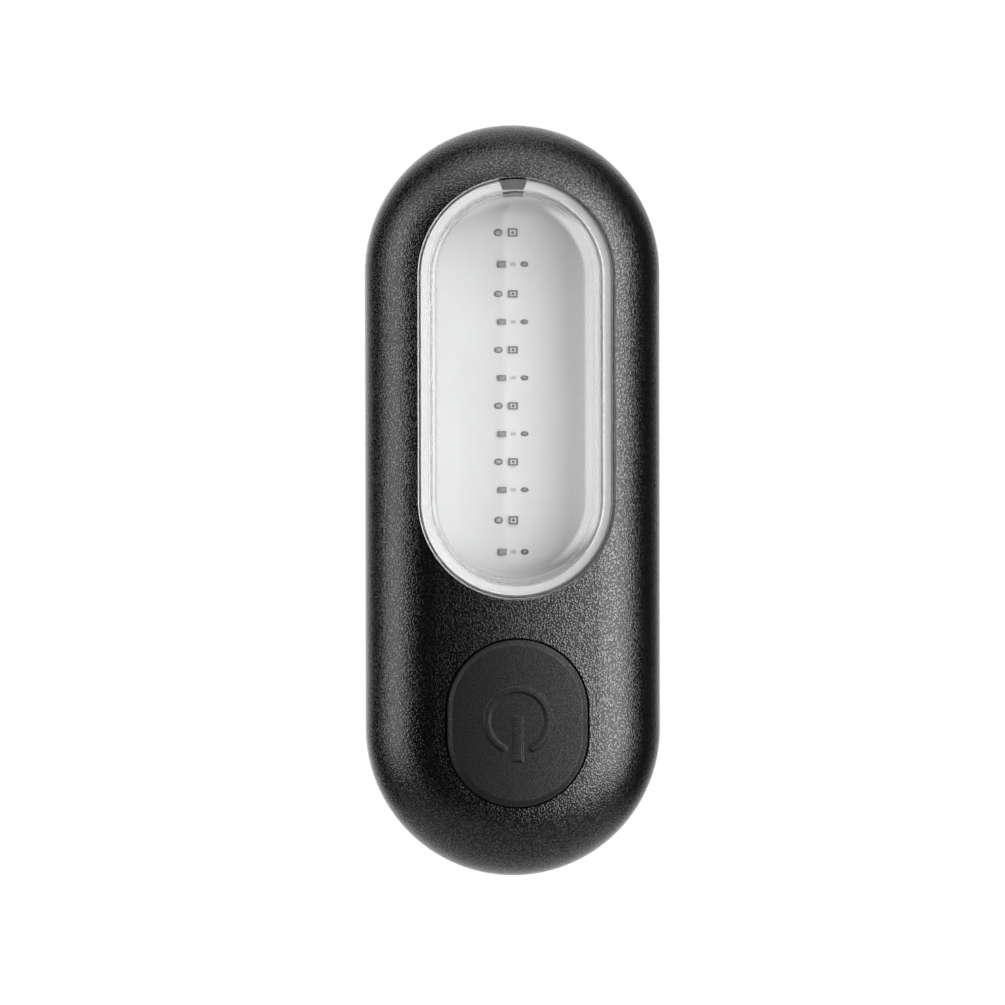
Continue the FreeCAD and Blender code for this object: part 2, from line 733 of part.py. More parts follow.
def board_parts():
    """LED chips on every other row, with resistors on the rows between."""
    chips = []
    resistors = []
    dots = []
    for index in range(int(value("led_rows"))):
        led_z = f"first_row_z - {2 * index} * row_pitch"
        gap_z = f"first_row_z - {2 * index + 1} * row_pitch"
        chips.append(box(f"led_chip_{index}",
                         ("led_x - led_side / 2", "-board_front_depth - led_height",
                          f"{led_z} - led_side / 2"),
                         ("led_side", "led_height", "led_side")))
        resistors.append(box(f"resistor_{index}",
                             ("-resistor_shift - resistor_length / 2",
                              "-board_front_depth - resistor_height", f"{gap_z} - resistor_width / 2"),
                             ("resistor_length", "resistor_height", "resistor_width")))
        dots.append(rod(f"dot_{index}", "dot_radius", "dot_height",
                        ("-dot_shift", "-board_front_depth", led_z), FORWARD))
        dots.append(rod(f"via_{index}", "via_radius", "dot_height",
                        ("via_shift", "-board_front_depth", gap_z), FORWARD))
    group("led_chips", chips)
    group("led_resistors", resistors)
    group("solder_dots", dots)


def controller_chips():
    """Charger and controller on the back of the board."""
    chips = []
    for index, (x, drop, width, length, height) in enumerate(CHIPS):
        chips.append(box(f"chip_{index}",
                         (x - width / 2, "-board_back_depth", f"lead_end_z - {drop + length / 2}"),
                         (width, height, length)))
    group("controller_chips", chips)


def case_screws():
    screws = []
    for index, (x, z) in enumerate(SCREWS):
        seat = (x, "-head_seat_depth", z)
        head = rod(f"head_{index}", "screw_head_radius", "screw_head_height", seat, (0, 1, 0))
        shank = rod(f"shank_{index}", "screw_radius", "screw_length", seat, FORWARD)
        floor = "-head_seat_depth + screw_head_height - cross_depth"
        across = box(f"across_{index}", (f"{x} - cross_length / 2", floor, f"{z} - cross_width / 2"),
                     ("cross_length", "cross_depth + overrun", "cross_width"))
        upright = box(f"upright_{index}", (f"{x} - cross_width / 2", floor, f"{z} - cross_length / 2"),
                      ("cross_width", "cross_depth + overrun", "cross_length"))
        blank = joined(f"screw_blank_{index}", [head, shank])
        cross = joined(f"cross_{index}", [across, upright])
        screws.append(cut(f"screw_{index}", blank, cross))
    group("case_screws", screws)


def power_button():
    body = swept("power_button", [
        ("0", "-button_crest_depth"),
        ("button_crown_flat", "-button_crest_depth", "button_crown_radius", 1),
        ("button_crown_flat + button_edge_reach * button_share",
         "-(button_crown_centre + (button_edge_depth - button_crown_centre) * button_share)",
         "button_edge_radius", 1),
        ("button_radius", "-button_edge_depth"),
        ("button_radius", "-button_flange_front"),
        ("button_flange_radius", "-button_flange_front"),
        ("button_flange_radius", "-button_flange_back"),
        ("button_radius - button_rim", "-button_flange_back"),
        ("button_radius - button_rim", "-button_inner_depth"),
        ("0", "-button_inner_depth"),
    ], "button_half_straight", "button_z")
    post = circle(sketch_on(body, "post", "XZ_Plane", "plunger_top_depth + plunger_gap"),
                  "button_post_radius", "0", "0")
    doc.recompute()
    pad(body, post, "button_inner_depth - plunger_top_depth - plunger_gap + button_post_root")
    ring = sketch_on(body, "symbol_ring", "XZ_Plane", "button_crest_depth - symbol_root")
    open_arc(ring, "symbol_radius", "symbol_radius - symbol_stroke", "symbol_gap_angle", "symbol_shift")
    doc.recompute()
    pad(body, ring, "symbol_root + symbol_rise")
    bar = sketch_on(body, "symbol_bar", "XZ_Plane", "button_crest_depth - symbol_root")
    outline(bar, [
        ("-symbol_bar_width / 2", "symbol_shift + symbol_bar_top - symbol_bar_length"),
        ("symbol_bar_width / 2", "symbol_shift + symbol_bar_top - symbol_bar_length"),
        ("symbol_bar_width / 2", "symbol_shift + symbol_bar_top"),
        ("-symbol_bar_width / 2", "symbol_shift + symbol_bar_top"),
    ])
    doc.recompute()
    pad(body, bar, "symbol_root + symbol_rise")
    swept("button_gasket", band("button_opening_radius + button_gap", "button_flange_radius",
                                "seat_depth - button_gasket_thickness", "seat_depth"),
          "button_half_straight", "button_z")


def open_arc(sketch, outer, inner, gap, z):
    """A ring about (0, z) with a gap at its lowest point, as four quarter-like arcs."""
    turns = (gap, "90", "180", "270", f"360 - {gap}")

    def spot(radius, angle):
        return f"({radius}) * sin({angle})", f"{z} - ({radius}) * cos({angle})"

    corners = [(*spot(outer, angle), outer, 1) for angle in turns[:-1]]
    corners.append(spot(outer, turns[-1]))
    corners += [(*spot(inner, angle), inner, -1) for angle in reversed(turns[1:])]
    corners.append(spot(inner, turns[0]))
    return outline(sketch, corners)


def tact_switch():
    block = box("switch_block", ("-switch_side / 2", "-switch_top_depth", "button_z - switch_side / 2"),
                ("switch_side", "switch_height", "switch_side"))
    bore = rod("switch_bore", "plunger_radius + plunger_fit", "plunger_seat + overrun",
               ("0", "-switch_top_depth + plunger_seat", "button_z"), FORWARD)
    finished(cut("switch_block_bored", block, bore), "switch_body")
    plunger_seat = "-switch_top_depth + plunger_seat - button_travel - plunger_gap"
    plunger = rod("plunger_rod", "plunger_radius",
                  "plunger_rise + plunger_seat - button_travel - plunger_gap",
                  ("0", plunger_seat, "button_z"), FORWARD)
    finished(plunger, "switch_plunger")


def usb_socket():
    reach = "socket_half_width - socket_half_height"
    ends = ((f"-({reach})", "-socket_depth"), (reach, "-socket_depth"))
    body = new_body("usb_socket")
    shell = sketch_on(body, "shell", "XY_Plane", "-socket_mouth_z")
    slot(shell, "socket_half_height", ends, math.pi / 2)
    doc.recompute()
    pad(body, shell, "socket_length")
    hollow = sketch_on(body, "hollow", "XY_Plane", "-socket_mouth_z")
    slot(hollow, "socket_half_height - socket_wall", ends, math.pi / 2)
    pocket(body, hollow, "socket_length - socket_back_wall", forward=True)
    tongue = box("tongue_block", ("-tongue_half_width", "-socket_depth - tongue_thickness / 2",
                                  "-socket_mouth_z + socket_length - socket_back_wall - tongue_length"),
                 ("2 * tongue_half_width", "tongue_thickness", "tongue_length"))
    finished(tongue, "usb_tongue")


def usb_cover():
    """The rubber cover swings about its left end, where the anchor holds it."""
    half = "cover_half_height"
    body = new_body("usb_cover")
    plate = sketch_on(body, "plate", "XZ_Plane", f"socket_depth - {half}")
    arc_band(plate, "body_radius - cover_thickness", "body_radius",
             "-cover_half_angle", "cover_half_angle")
    doc.recompute()
    pad(body, plate, f"2 * {half}")
    plug = sketch_on(body, "plug", "XY_Plane",
                     "-(body_half_straight + body_radius - cover_thickness / 2)")
    reach = "socket_half_width - socket_half_height - cover_plug_gap"
    slot(plug, "socket_half_height - socket_wall - cover_plug_gap",
         ((f"-({reach})", "-socket_depth"), (reach, "-socket_depth")), math.pi / 2)
    doc.recompute()
    pad(body, plug, "cover_thickness / 2 + cover_gap + socket_lip + cover_plug_depth")
    anchor = new_body("cover_anchor")
    strip = sketch_on(anchor, "strip", "XZ_Plane", f"socket_depth - {half}")
    arc_band(strip, "port_floor_radius", "body_radius",
             "-(cover_half_angle + anchor_angle)", "-(cover_half_angle + anchor_gap_angle)")
    doc.recompute()
    pad(anchor, strip, f"2 * {half}")


def battery():
    cell = box("cell_block", ("-battery_width / 2", "-battery_back_depth - battery_thickness",
                              "battery_z - battery_length / 2"),
               ("battery_width", "battery_thickness", "battery_length"))
    rounded = doc.addObject("Part::Fillet", "cell_rounded")
    rounded.Base = cell
    doc.recompute()
    radius = value("battery_round")
    upright = [index for index, edge in enumerate(cell.Shape.Edges, 1)
               if abs(edge.tangentAt(edge.FirstParameter).z) > 0.9]
    rounded.Edges = [(index, radius, radius) for index in upright]
    finished(rounded, "battery_cell")
    foam = box("foam_block", ("-battery_width / 2 + foam_inset", "-battery_back_depth",
                              "battery_z - battery_length / 2 + foam_inset"),
               ("battery_width - 2 * foam_inset", "foam_thickness", "battery_length - 2 * foam_inset"))
    finished(foam, "battery_foam")


def lead(label, side):
    """A battery lead: straight down from the cell, then a bend onto the board."""
    x = side * value("lead_shift")
    start = FreeCAD.Vector(x, -value("battery_mid_depth"), value("lead_start_z"))
    bend = FreeCAD.Vector(x, start.y, value("lead_end_z"))
    end = FreeCAD.Vector(x, -value("board_back_depth"), bend.z)
    radius = value("lead_bend_share") * (end - bend).Length
    into = bend + FreeCAD.Vector(0, 0, radius)
    out = bend + (end - bend).normalize() * radius
    centre = FreeCAD.Vector(x, out.y, into.z)
    middle = centre + (bend - centre).normalize() * radius
    path = Part.Wire([Part.LineSegment(start, into).toShape(), Part.Arc(into, middle, out).toShape(),
                      Part.LineSegment(out, end).toShape()])
    section = Part.Wire([Part.Circle(start, FreeCAD.Vector(0, 0, 1), value("lead_radius")).toShape()])
    thing = doc.addObject("Part::Feature", label + "_tube")
    thing.Shape = path.makePipeShell([section], True, False)
    ideal = math.pi * value("lead_radius") ** 2 * path.Length
    print(f"{label}: bend radius {radius:.2f} mm, volume {thing.Shape.Volume / ideal:.3f} of the ideal")
    finished(thing, label)


def saddle_pad():
    body = new_body("saddle_pad")
    section = outline(sketch_on(body, "section", "XY_Plane", "-pad_half_length"), [
        ("-pad_half_width", "post_radius - sqrt(valley_radius^2 - pad_half_width^2)", "valley_radius", 1),
        ("pad_half_width", "post_radius - sqrt(valley_radius^2 - pad_half_width^2)"),
        ("pad_half_width", "post_radius - sqrt(post_radius^2 - pad_half_width^2)", "post_radius", -1),
        ("-pad_half_width", "post_radius - sqrt(post_radius^2 - pad_half_width^2)"),
    ])
    doc.recompute()
    pad(body, section, "2 * pad_half_length")


def housing_seal():
    swept("housing_seal", band("body_radius - seal_inset - seal_width", "body_radius - seal_inset",
                               "parting_depth - seal_height", "parting_depth"),
          "body_half_straight", "0")


front_shell()
rear_shell()
housing_seal()
saddle_pad()
lens()
light_frame()
main_board()
board_parts()
controller_chips()
case_screws()
power_button()
tact_switch()
usb_socket()
usb_cover()
battery()
lead("lead_red", 1)
lead("lead_black", -1)
doc.recompute()

for thing in doc.Objects:
    if {"Invalid", "Error"} & set(thing.State):
        raise RuntimeError(f"{thing.Name} failed: {thing.State}")
for thing in sub_parts:
    if thing.Shape.isNull() or not thing.Shape.isValid():
        raise RuntimeError(f"{thing.Label} has no valid shape")

os.makedirs("parts", exist_ok=True)
for thing in sub_parts:
    thing.Shape.exportStep(f"parts/{thing.Label}.step")
    print(f"{thing.Label}: {len(thing.Shape.Solids)} solids, {thing.Shape.Volume:.1f} mm3")
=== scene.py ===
import math

import bmesh
import bpy
from mathutils import Euler, Matrix, Vector


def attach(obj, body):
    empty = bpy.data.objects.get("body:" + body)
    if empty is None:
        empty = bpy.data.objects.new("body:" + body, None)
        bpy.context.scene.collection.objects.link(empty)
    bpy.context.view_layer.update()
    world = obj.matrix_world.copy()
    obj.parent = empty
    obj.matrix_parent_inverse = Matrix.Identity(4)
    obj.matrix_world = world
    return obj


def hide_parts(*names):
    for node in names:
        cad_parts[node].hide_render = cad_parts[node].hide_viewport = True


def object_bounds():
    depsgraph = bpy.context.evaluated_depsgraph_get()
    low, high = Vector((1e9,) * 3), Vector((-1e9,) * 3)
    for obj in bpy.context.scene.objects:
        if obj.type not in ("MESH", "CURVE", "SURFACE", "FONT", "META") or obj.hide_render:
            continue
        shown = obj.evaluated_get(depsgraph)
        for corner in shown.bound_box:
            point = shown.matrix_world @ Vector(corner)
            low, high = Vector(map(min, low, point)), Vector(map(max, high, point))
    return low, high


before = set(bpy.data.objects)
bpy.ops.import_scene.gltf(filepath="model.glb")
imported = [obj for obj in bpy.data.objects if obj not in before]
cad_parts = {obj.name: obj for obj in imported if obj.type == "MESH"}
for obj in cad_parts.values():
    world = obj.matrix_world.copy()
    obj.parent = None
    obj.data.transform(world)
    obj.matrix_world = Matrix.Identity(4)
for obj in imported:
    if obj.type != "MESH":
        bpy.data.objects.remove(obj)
cad_low, cad_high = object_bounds()
scene = bpy.context.scene

MM = 0.001

# Framing of the photograph, in its 1005 by 1005 pixels
IMAGE_PIXELS = 1005
PIXELS_PER_MM = 10.0
SILHOUETTE_CENTRE = (512.7, 500.5)
CAMERA_AZIMUTH = -3.0
CAMERA_ELEVATION = 1.6
CAMERA_ROLL = -0.1
CAMERA_DISTANCE = 1.1
CAMERA_CLIP_START = 0.05
SENSOR_WIDTH = 36.0
SILHOUETTE_DEPTH = 12.0 * MM

FLOOR_DROP = 75.0 * MM
FLOOR_SIZE = 360.0 * MM
# Where the floor starts to fade and has gone, as shares of its half size
FLOOR_FADE = (0.45, 0.98)


def add_object(name, data):
    """A new object that stands in the scene."""
    made = bpy.data.objects.new(name, data)
    scene.collection.objects.link(made)
    return made


# Node helpers

class Graph:
    """A small writer of shader nodes: each call makes a node, links what it is given and returns it."""

    def __init__(self, tree):
        self.tree = tree
        self.nodes = tree.nodes
        self.column = 0

    def node(self, kind, inputs=None, **settings):
        made = self.nodes.new(kind)
        self.column += 1
        made.location = (180 * self.column, -120 * (self.column % 5))
        for name, setting in settings.items():
            setattr(made, name, setting)
        for socket, source in (inputs or {}).items():
            self.feed(made.inputs[socket], source)
        return made

    def feed(self, socket, source):
        if isinstance(source, bpy.types.NodeSocket):
            self.tree.links.new(source, socket)
        else:
            socket.default_value = source

    def math(self, operation, *values, clamp=False):
        inputs = dict(enumerate(values))
        return self.node("ShaderNodeMath", inputs, operation=operation, use_clamp=clamp).outputs[0]

    def noise(self, coordinates, scale, detail):
        inputs = {"Vector": coordinates, "Scale": scale, "Detail": detail}
        return self.node("ShaderNodeTexNoise", inputs).outputs[0]

    def ramp(self, value, low, high, start=0.0, end=1.0):
        """A smooth step from start to end, while the value goes from low to high."""
        made = self.node("ShaderNodeMapRange", {"Value": value, "From Min": low, "From Max": high,
                                                "To Min": start, "To Max": end})
        made.interpolation_type = "SMOOTHSTEP"
        return made.outputs[0]

    def bump(self, height, strength, distance):
        inputs = {"Height": height, "Strength": strength, "Distance": distance}
        return self.node("ShaderNodeBump", inputs).outputs[0]

    def object_coordinates(self):
        return self.node("ShaderNodeTexCoord").outputs["Object"]


def node_group(name, inputs, outputs):
    """An empty shader group with its sockets; inputs hold (name, kind, default)."""
    tree = bpy.data.node_groups.new(name, "ShaderNodeTree")
    for socket_name, kind, default in inputs:
        socket = tree.interface.new_socket(socket_name, in_out="INPUT", socket_type=kind)
        socket.default_value = default
    for socket_name, kind in outputs:
        tree.interface.new_socket(socket_name, in_out="OUTPUT", socket_type=kind)
    graph = Graph(tree)
    return graph, graph.node("NodeGroupInput").outputs, graph.node("NodeGroupOutput").inputs


# The grain: how far a pebble's outline wanders, as a share of its size, how soft it is, the distances
# over which it falls off, how much finer the grit is than the pebbles, and the grit's height
PEBBLE_WANDER = 0.9
PEBBLE_SOFTNESS = 0.6
PEBBLE_FALL = (0.05, 0.75)
GRIT_FINENESS = 2.7
GRIT_HEIGHT = 0.5


def pebble_group():
    """Spark-eroded grain of moulded plastic: rounded pebbles with fine grit between them."""
    graph, given, result = node_group(
        "pebble_grain",
        [("Pebble size", "NodeSocketFloat", 0.35 * MM), ("Depth", "NodeSocketFloat", 0.012 * MM),
         ("Strength", "NodeSocketFloat", 0.6)],
        [("Normal", "NodeSocketVector"), ("Mask", "NodeSocketFloat")])
    place = graph.object_coordinates()
    scale = graph.math("DIVIDE", 1.0, given["Pebble size"])
    warp = graph.node("ShaderNodeTexNoise", {"Vector": place, "Scale": scale, "Detail": 1.0})
    shifted = graph.node("ShaderNodeVectorMath", {0: warp.outputs["Color"], 1: (0.5, 0.5, 0.5)},
                         operation="SUBTRACT")
    reach = graph.math("MULTIPLY", given["Pebble size"], PEBBLE_WANDER)
    moved = graph.node("ShaderNodeVectorMath", {0: shifted.outputs[0], "Scale": reach},
                       operation="SCALE")
    warped = graph.node("ShaderNodeVectorMath", {0: place, 1: moved.outputs[0]}, operation="ADD")
    cells = graph.node("ShaderNodeTexVoronoi", {"Vector": warped.outputs[0], "Scale": scale,
                                                "Smoothness": PEBBLE_SOFTNESS}, feature="SMOOTH_F1")
    pebbles = graph.ramp(cells.outputs["Distance"], *PEBBLE_FALL, 1.0, 0.0)
    fine_scale = graph.math("MULTIPLY", scale, GRIT_FINENESS)
    grit = graph.noise(place, fine_scale, 2.0)
    height = graph.math("ADD", pebbles, graph.math("MULTIPLY", grit, GRIT_HEIGHT))
    graph.feed(result["Normal"], graph.bump(height, given["Strength"], given["Depth"]))
    graph.feed(result["Mask"], pebbles)
    return graph.tree


def blotch_group():
    """Slow uneven shade of a moulding, between 0 and 1."""
    graph, given, result = node_group(
        "slow_blotches",
        [("Size", "NodeSocketFloat", 9.0 * MM), ("Contrast", "NodeSocketFloat", 1.0)],
        [("Mask", "NodeSocketFloat")])
    scale = graph.math("DIVIDE", 1.0, given["Size"])
    shade = graph.noise(graph.object_coordinates(), scale, 3.0)
    centred = graph.math("SUBTRACT", shade, 0.5)
    spread = graph.math("MULTIPLY", centred, given["Contrast"])
    graph.feed(result["Mask"], graph.math("ADD", spread, 0.5, clamp=True))
    return graph.tree


PEBBLES = pebble_group()
BLOTCHES = blotch_group()


def new_material(name):
    """A node material with an empty graph, its Principled shader and its output."""
    material = bpy.data.materials.new(name)
    material.use_nodes = True
    graph = Graph(material.node_tree)
    graph.nodes.clear()
    shader = graph.node("ShaderNodeBsdfPrincipled")
    output = graph.node("ShaderNodeOutputMaterial")
    graph.tree.links.new(shader.outputs[0], output.inputs["Surface"])
    return material, graph, shader, output


def use_group(graph, tree, **values):
    """A group in a material; an underscore stands for the space in an input's name."""
    made = graph.node("ShaderNodeGroup", node_tree=tree)
    for name, setting in values.items():
        graph.feed(made.inputs[name.replace("_", " ")], setting)
    return made.outputs


def tint(graph, mask, dark, light):
    """A colour between two greys or colours, by a mask."""
    mix = graph.node("ShaderNodeMix", data_type="RGBA")
    graph.feed(mix.inputs["Factor"], mask)
    graph.feed(mix.inputs["A"], (*dark, 1.0))
    graph.feed(mix.inputs["B"], (*light, 1.0))
    return mix.outputs["Result"]


# Shares of the grain and of the blotches in the wear of the gloss, the blotches' contrast, and the
# pebble heights between which the dimmed gloss of the crevices, which is painted shade, gives way to a
# pebble's full gloss
GRAIN_WEAR = 0.65
BLOTCH_WEAR = 0.35
BLOTCH_CONTRAST = 1.6
CREVICE_SHADE_RANGE = (0.2, 0.75)


def moulded(name, dark, light, rough, pebble, depth, strength, specular=0.5, crevice_shade=1.0):
    """Moulded plastic or rubber with a pebble grain, a slow blotch and a worn gloss on the grain.

    The pebbles' size and depth are in mm. The last argument is the share of the gloss that is left
    between the pebbles; the rest is dimmed away there as painted shade in the crevices.
    """
    material, graph, shader, _ = new_material(name)
    grain = use_group(graph, PEBBLES, Pebble_size=pebble * MM, Depth=depth * MM, Strength=strength)
    blotch = use_group(graph, BLOTCHES, Contrast=BLOTCH_CONTRAST)
    graph.feed(shader.inputs["Base Color"], tint(graph, blotch["Mask"], dark, light))
    low, high = rough
    wear = graph.math("MULTIPLY", blotch["Mask"], BLOTCH_WEAR)
    patch = graph.math("ADD", graph.math("MULTIPLY", grain["Mask"], GRAIN_WEAR), wear)
    graph.feed(shader.inputs["Roughness"], graph.ramp(patch, 0.0, 1.0, high, low))
    graph.feed(shader.inputs["Normal"], grain["Normal"])
    # Weaker specular between the pebbles: painted shade in the crevices, where the pebbles would hide
    # the light
    if crevice_shade < 1.0:
        gloss = graph.ramp(grain["Mask"], *CREVICE_SHADE_RANGE, specular * crevice_shade, specular)
        graph.feed(shader.inputs["Specular IOR Level"], gloss)
    else:
        shader.inputs["Specular IOR Level"].default_value = specular
    return material


def grey(level):
    return (level, level, level)


# Rolling marks of metal: how much slower they change along Z, how much they add to the roughness,
# their depth, and the shade of the metal's stains
MARK_STRETCH = 0.12
MARK_ROUGHNESS = 0.15
MARK_DEPTH = 0.002 * MM
STAIN_SHADE = 0.8


def metal(name, colour, rough, brush=0.25):
    """Plated metal with fine rolling marks along Z, brush mm wide."""
    material, graph, shader, _ = new_material(name)
    place = graph.object_coordinates()
    width = brush * MM
    stretch = (1 / width, 1 / width, MARK_STRETCH / width)
    stretched = graph.node("ShaderNodeVectorMath", {0: place, 1: stretch}, operation="MULTIPLY")
    marks = graph.noise(stretched.outputs[0], 1.0, 3.0)
    stain = use_group(graph, BLOTCHES, Size=2.0 * MM, Contrast=2.0)
    graph.feed(shader.inputs["Base Color"],
               tint(graph, stain["Mask"], tuple(part * STAIN_SHADE for part in colour), colour))
    graph.feed(shader.inputs["Roughness"], graph.ramp(marks, 0.3, 0.7, rough, rough + MARK_ROUGHNESS))
    graph.feed(shader.inputs["Normal"], graph.bump(marks, 0.3, MARK_DEPTH))
    shader.inputs["Metallic"].default_value = 1.0
    return material


POLYCARBONATE = (0.975, 0.977, 0.978, 1.0)
POLYCARBONATE_SHADOW = (0.94, 0.942, 0.943, 1.0)
POLYCARBONATE_IOR = 1.49
SWIRL_SIZE = 5.0 * MM
WAVE_LENGTH = 3.5 * MM
WAVE_DEPTH = 0.006 * MM


def clear_plastic():
    """Clear polished lens; its shadow rays pass, so that light reaches the board behind it."""
    material, graph, shader, output = new_material("clear_polycarbonate")
    shader.inputs["Base Color"].default_value = POLYCARBONATE
    shader.inputs["Transmission Weight"].default_value = 1.0
    shader.inputs["IOR"].default_value = POLYCARBONATE_IOR
    swirl = use_group(graph, BLOTCHES, Size=SWIRL_SIZE, Contrast=2.0)
    graph.feed(shader.inputs["Roughness"], graph.ramp(swirl["Mask"], 0.0, 1.0, 0.012, 0.03))
    waves = graph.noise(graph.object_coordinates(), 1 / WAVE_LENGTH, 1.0)
    graph.feed(shader.inputs["Normal"], graph.bump(waves, 0.25, WAVE_DEPTH))
    path = graph.node("ShaderNodeLightPath")
    clear = graph.node("ShaderNodeBsdfTransparent", {"Color": POLYCARBONATE_SHADOW})
    mix = graph.node("ShaderNodeMixShader", {0: path.outputs["Is Shadow Ray"], 1: shader.outputs[0],
                                             2: clear.outputs[0]})
    graph.tree.links.new(mix.outputs[0], output.inputs["Surface"])
    return material


# Pebble, depth and brush in mm
MATERIALS = {
    # The shell and the button get painted shade in the crevices of their grain, as a dimmer gloss there
    "shell": moulded("black_abs", grey(0.0005), grey(0.001), (0.13, 0.19), pebble=0.19,
                     depth=0.022, strength=0.9, specular=0.56, crevice_shade=0.35),
    "button": moulded("button_abs", grey(0.0025), grey(0.004), (0.36, 0.46), pebble=0.14,
                      depth=0.01, strength=0.8, specular=0.2, crevice_shade=0.5),
    "silicone": moulded("black_silicone", grey(0.02), grey(0.03), (0.55, 0.7), pebble=0.12,
                        depth=0.003, strength=0.4, specular=0.35),
    "white": moulded("white_frame_plastic", grey(0.21), grey(0.235), (0.35, 0.45), pebble=0.2,
                     depth=0.002, strength=0.3),
    "board": moulded("white_solder_mask", grey(0.275), grey(0.3), (0.4, 0.5), pebble=0.3,
                     depth=0.0004, strength=0.1),
    "led": moulded("led_ceramic", (0.018, 0.0178, 0.0175), (0.03, 0.0297, 0.029), (0.3, 0.4),
                   pebble=0.1, depth=0.001, strength=0.3),
    "phosphor": moulded("led_window", (0.27, 0.27, 0.266), (0.31, 0.31, 0.305), (0.25, 0.35),
                        pebble=0.08, depth=0.001, strength=0.3),
    "die": moulded("led_die", grey(0.01), grey(0.02), (0.2, 0.3), pebble=0.05, depth=0.0005,
                   strength=0.3),
    "resistor": moulded("resistor_glaze", grey(0.05), grey(0.08), (0.3, 0.4), pebble=0.1,
                        depth=0.001, strength=0.3),
    "print": moulded("resistor_print", grey(0.09), grey(0.12), (0.3, 0.4), pebble=0.1,
                     depth=0.001, strength=0.3),
    "pad": moulded("tarnished_pad", grey(0.05), grey(0.08), (0.35, 0.45), pebble=0.08,
                   depth=0.002, strength=0.4),
    "via": moulded("via_ring", grey(0.008), grey(0.015), (0.35, 0.45), pebble=0.08,
                   depth=0.002, strength=0.4),
    "bare": moulded("bare_pad", grey(0.15), grey(0.18), (0.35, 0.45), pebble=0.1,
                    depth=0.001, strength=0.3),
    "epoxy": moulded("chip_epoxy", grey(0.02), grey(0.035), (0.45, 0.6), pebble=0.08,
                     depth=0.003, strength=0.5),
    "plunger": moulded("plunger_plastic", grey(0.02), grey(0.03), (0.4, 0.5), pebble=0.15,
                       depth=0.002, strength=0.3),
    "foam": moulded("black_foam", grey(0.03), grey(0.05), (0.85, 0.95), pebble=0.3,
                    depth=0.05, strength=0.9, specular=0.2),
    "red_wire": moulded("red_insulation", (0.45, 0.01, 0.01), (0.55, 0.02, 0.015), (0.4, 0.5),
                        pebble=0.2, depth=0.001, strength=0.2),
    "black_wire": moulded("black_insulation", grey(0.015), grey(0.025), (0.4, 0.5), pebble=0.2,
                          depth=0.001, strength=0.2),
    "solder": metal("tin_solder", (0.16, 0.16, 0.165), 0.35),
    "steel": metal("nickel_steel", (0.55, 0.54, 0.52), 0.22),
    "pouch": metal("pouch_foil", (0.75, 0.76, 0.78), 0.3, brush=0.6),
    "lens": clear_plastic(),
}

# The CAD nodes that wear each material
FINISHES = {
    "shell": ("front_shell", "rear_shell"),
    "button": ("power_button",),
    "silicone": ("saddle_pad", "housing_seal", "lens_gasket", "button_gasket", "usb_cover",
                 "cover_anchor"),
    "white": ("light_frame",),
    "board": ("main_board",),
    "led": ("led_chips",),
    "resistor": ("led_resistors",),
    "solder": ("solder_dots",),
    "epoxy": ("controller_chips", "usb_tongue"),
    "plunger": ("switch_plunger",),
    "steel": ("case_screws", "usb_socket", "switch_body"),
    "pouch": ("battery_cell",),
    "foam": ("battery_foam",),
    "red_wire": ("lead_red",),
    "black_wire": ("lead_black",),
    "lens": ("lens",),
}
for finish, names in FINISHES.items():
    for name in names:
        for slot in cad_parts[name].material_slots:
            slot.material = MATERIALS[finish]


# Lens

LENS_Z = 11.35
LENS_HALF_STRAIGHT = 11.17
LENS_DOME_END_INSET = 0.15
LENS_CAP_STEPS = 72
CROWN_STEPS = 20
SHOULDER_STEPS = 16
CORNER_STEPS = 12
HOLLOW_STEPS = 12
FILLET_STEPS = 6

DOME_HALF_WIDTH = 8.55
DOME_TOP_DEPTH = 22.39
DOME_CROWN_RADIUS = 45.0
DOME_SHOULDER_RADIUS = 4.0
DOME_CORNER_RADIUS = 0.65
DOME_CORNER_TILT = 35.0
DOME_WALL = 0.7
FLANGE_FRONT = 19.1
LIP_ROOF = 18.25
LIP_RECESS_RADIUS = 9.5
FLANGE_BACK = 16.7
GASKET_BACK = 17.7
RIM_RADIUS = 9.79
RIM_ROUND = 0.25
FOOT_FILLET = 0.25
FLANGE_RADIUS = 11.0

# Points of a mesh closer than this, in mm, are one; edges that turn by more than this are sharp
SAME_POINT = 1e-4
SHARP_ANGLE = math.radians(40)


class Profile:
    """A half section of a swept piece: spans of points, each point with its outward normal."""

    def __init__(self):
        self.spans = []

    def last(self):
        return self.spans[-1][-1][0]

    def line(self, *ends):
        """Straight on from the last point to each of these in turn."""
        for end in ends:
            start = self.last()
            along = Vector(end) - start
            normal = Vector((-along.y, along.x)).normalized()
            self.spans.append([(start, normal), (Vector(end), normal)])

    def arc(self, centre, radius, start, end, steps, inward=False):
        """Angles in degrees from the outward direction, towards the front."""
        span = []
        for step in range(steps + 1):
            angle = math.radians(start + (end - start) * step / steps)
            normal = Vector((math.cos(angle), math.sin(angle)))
            span.append((Vector(centre) + normal * radius, -normal if inward else normal))
        self.spans.append(span)


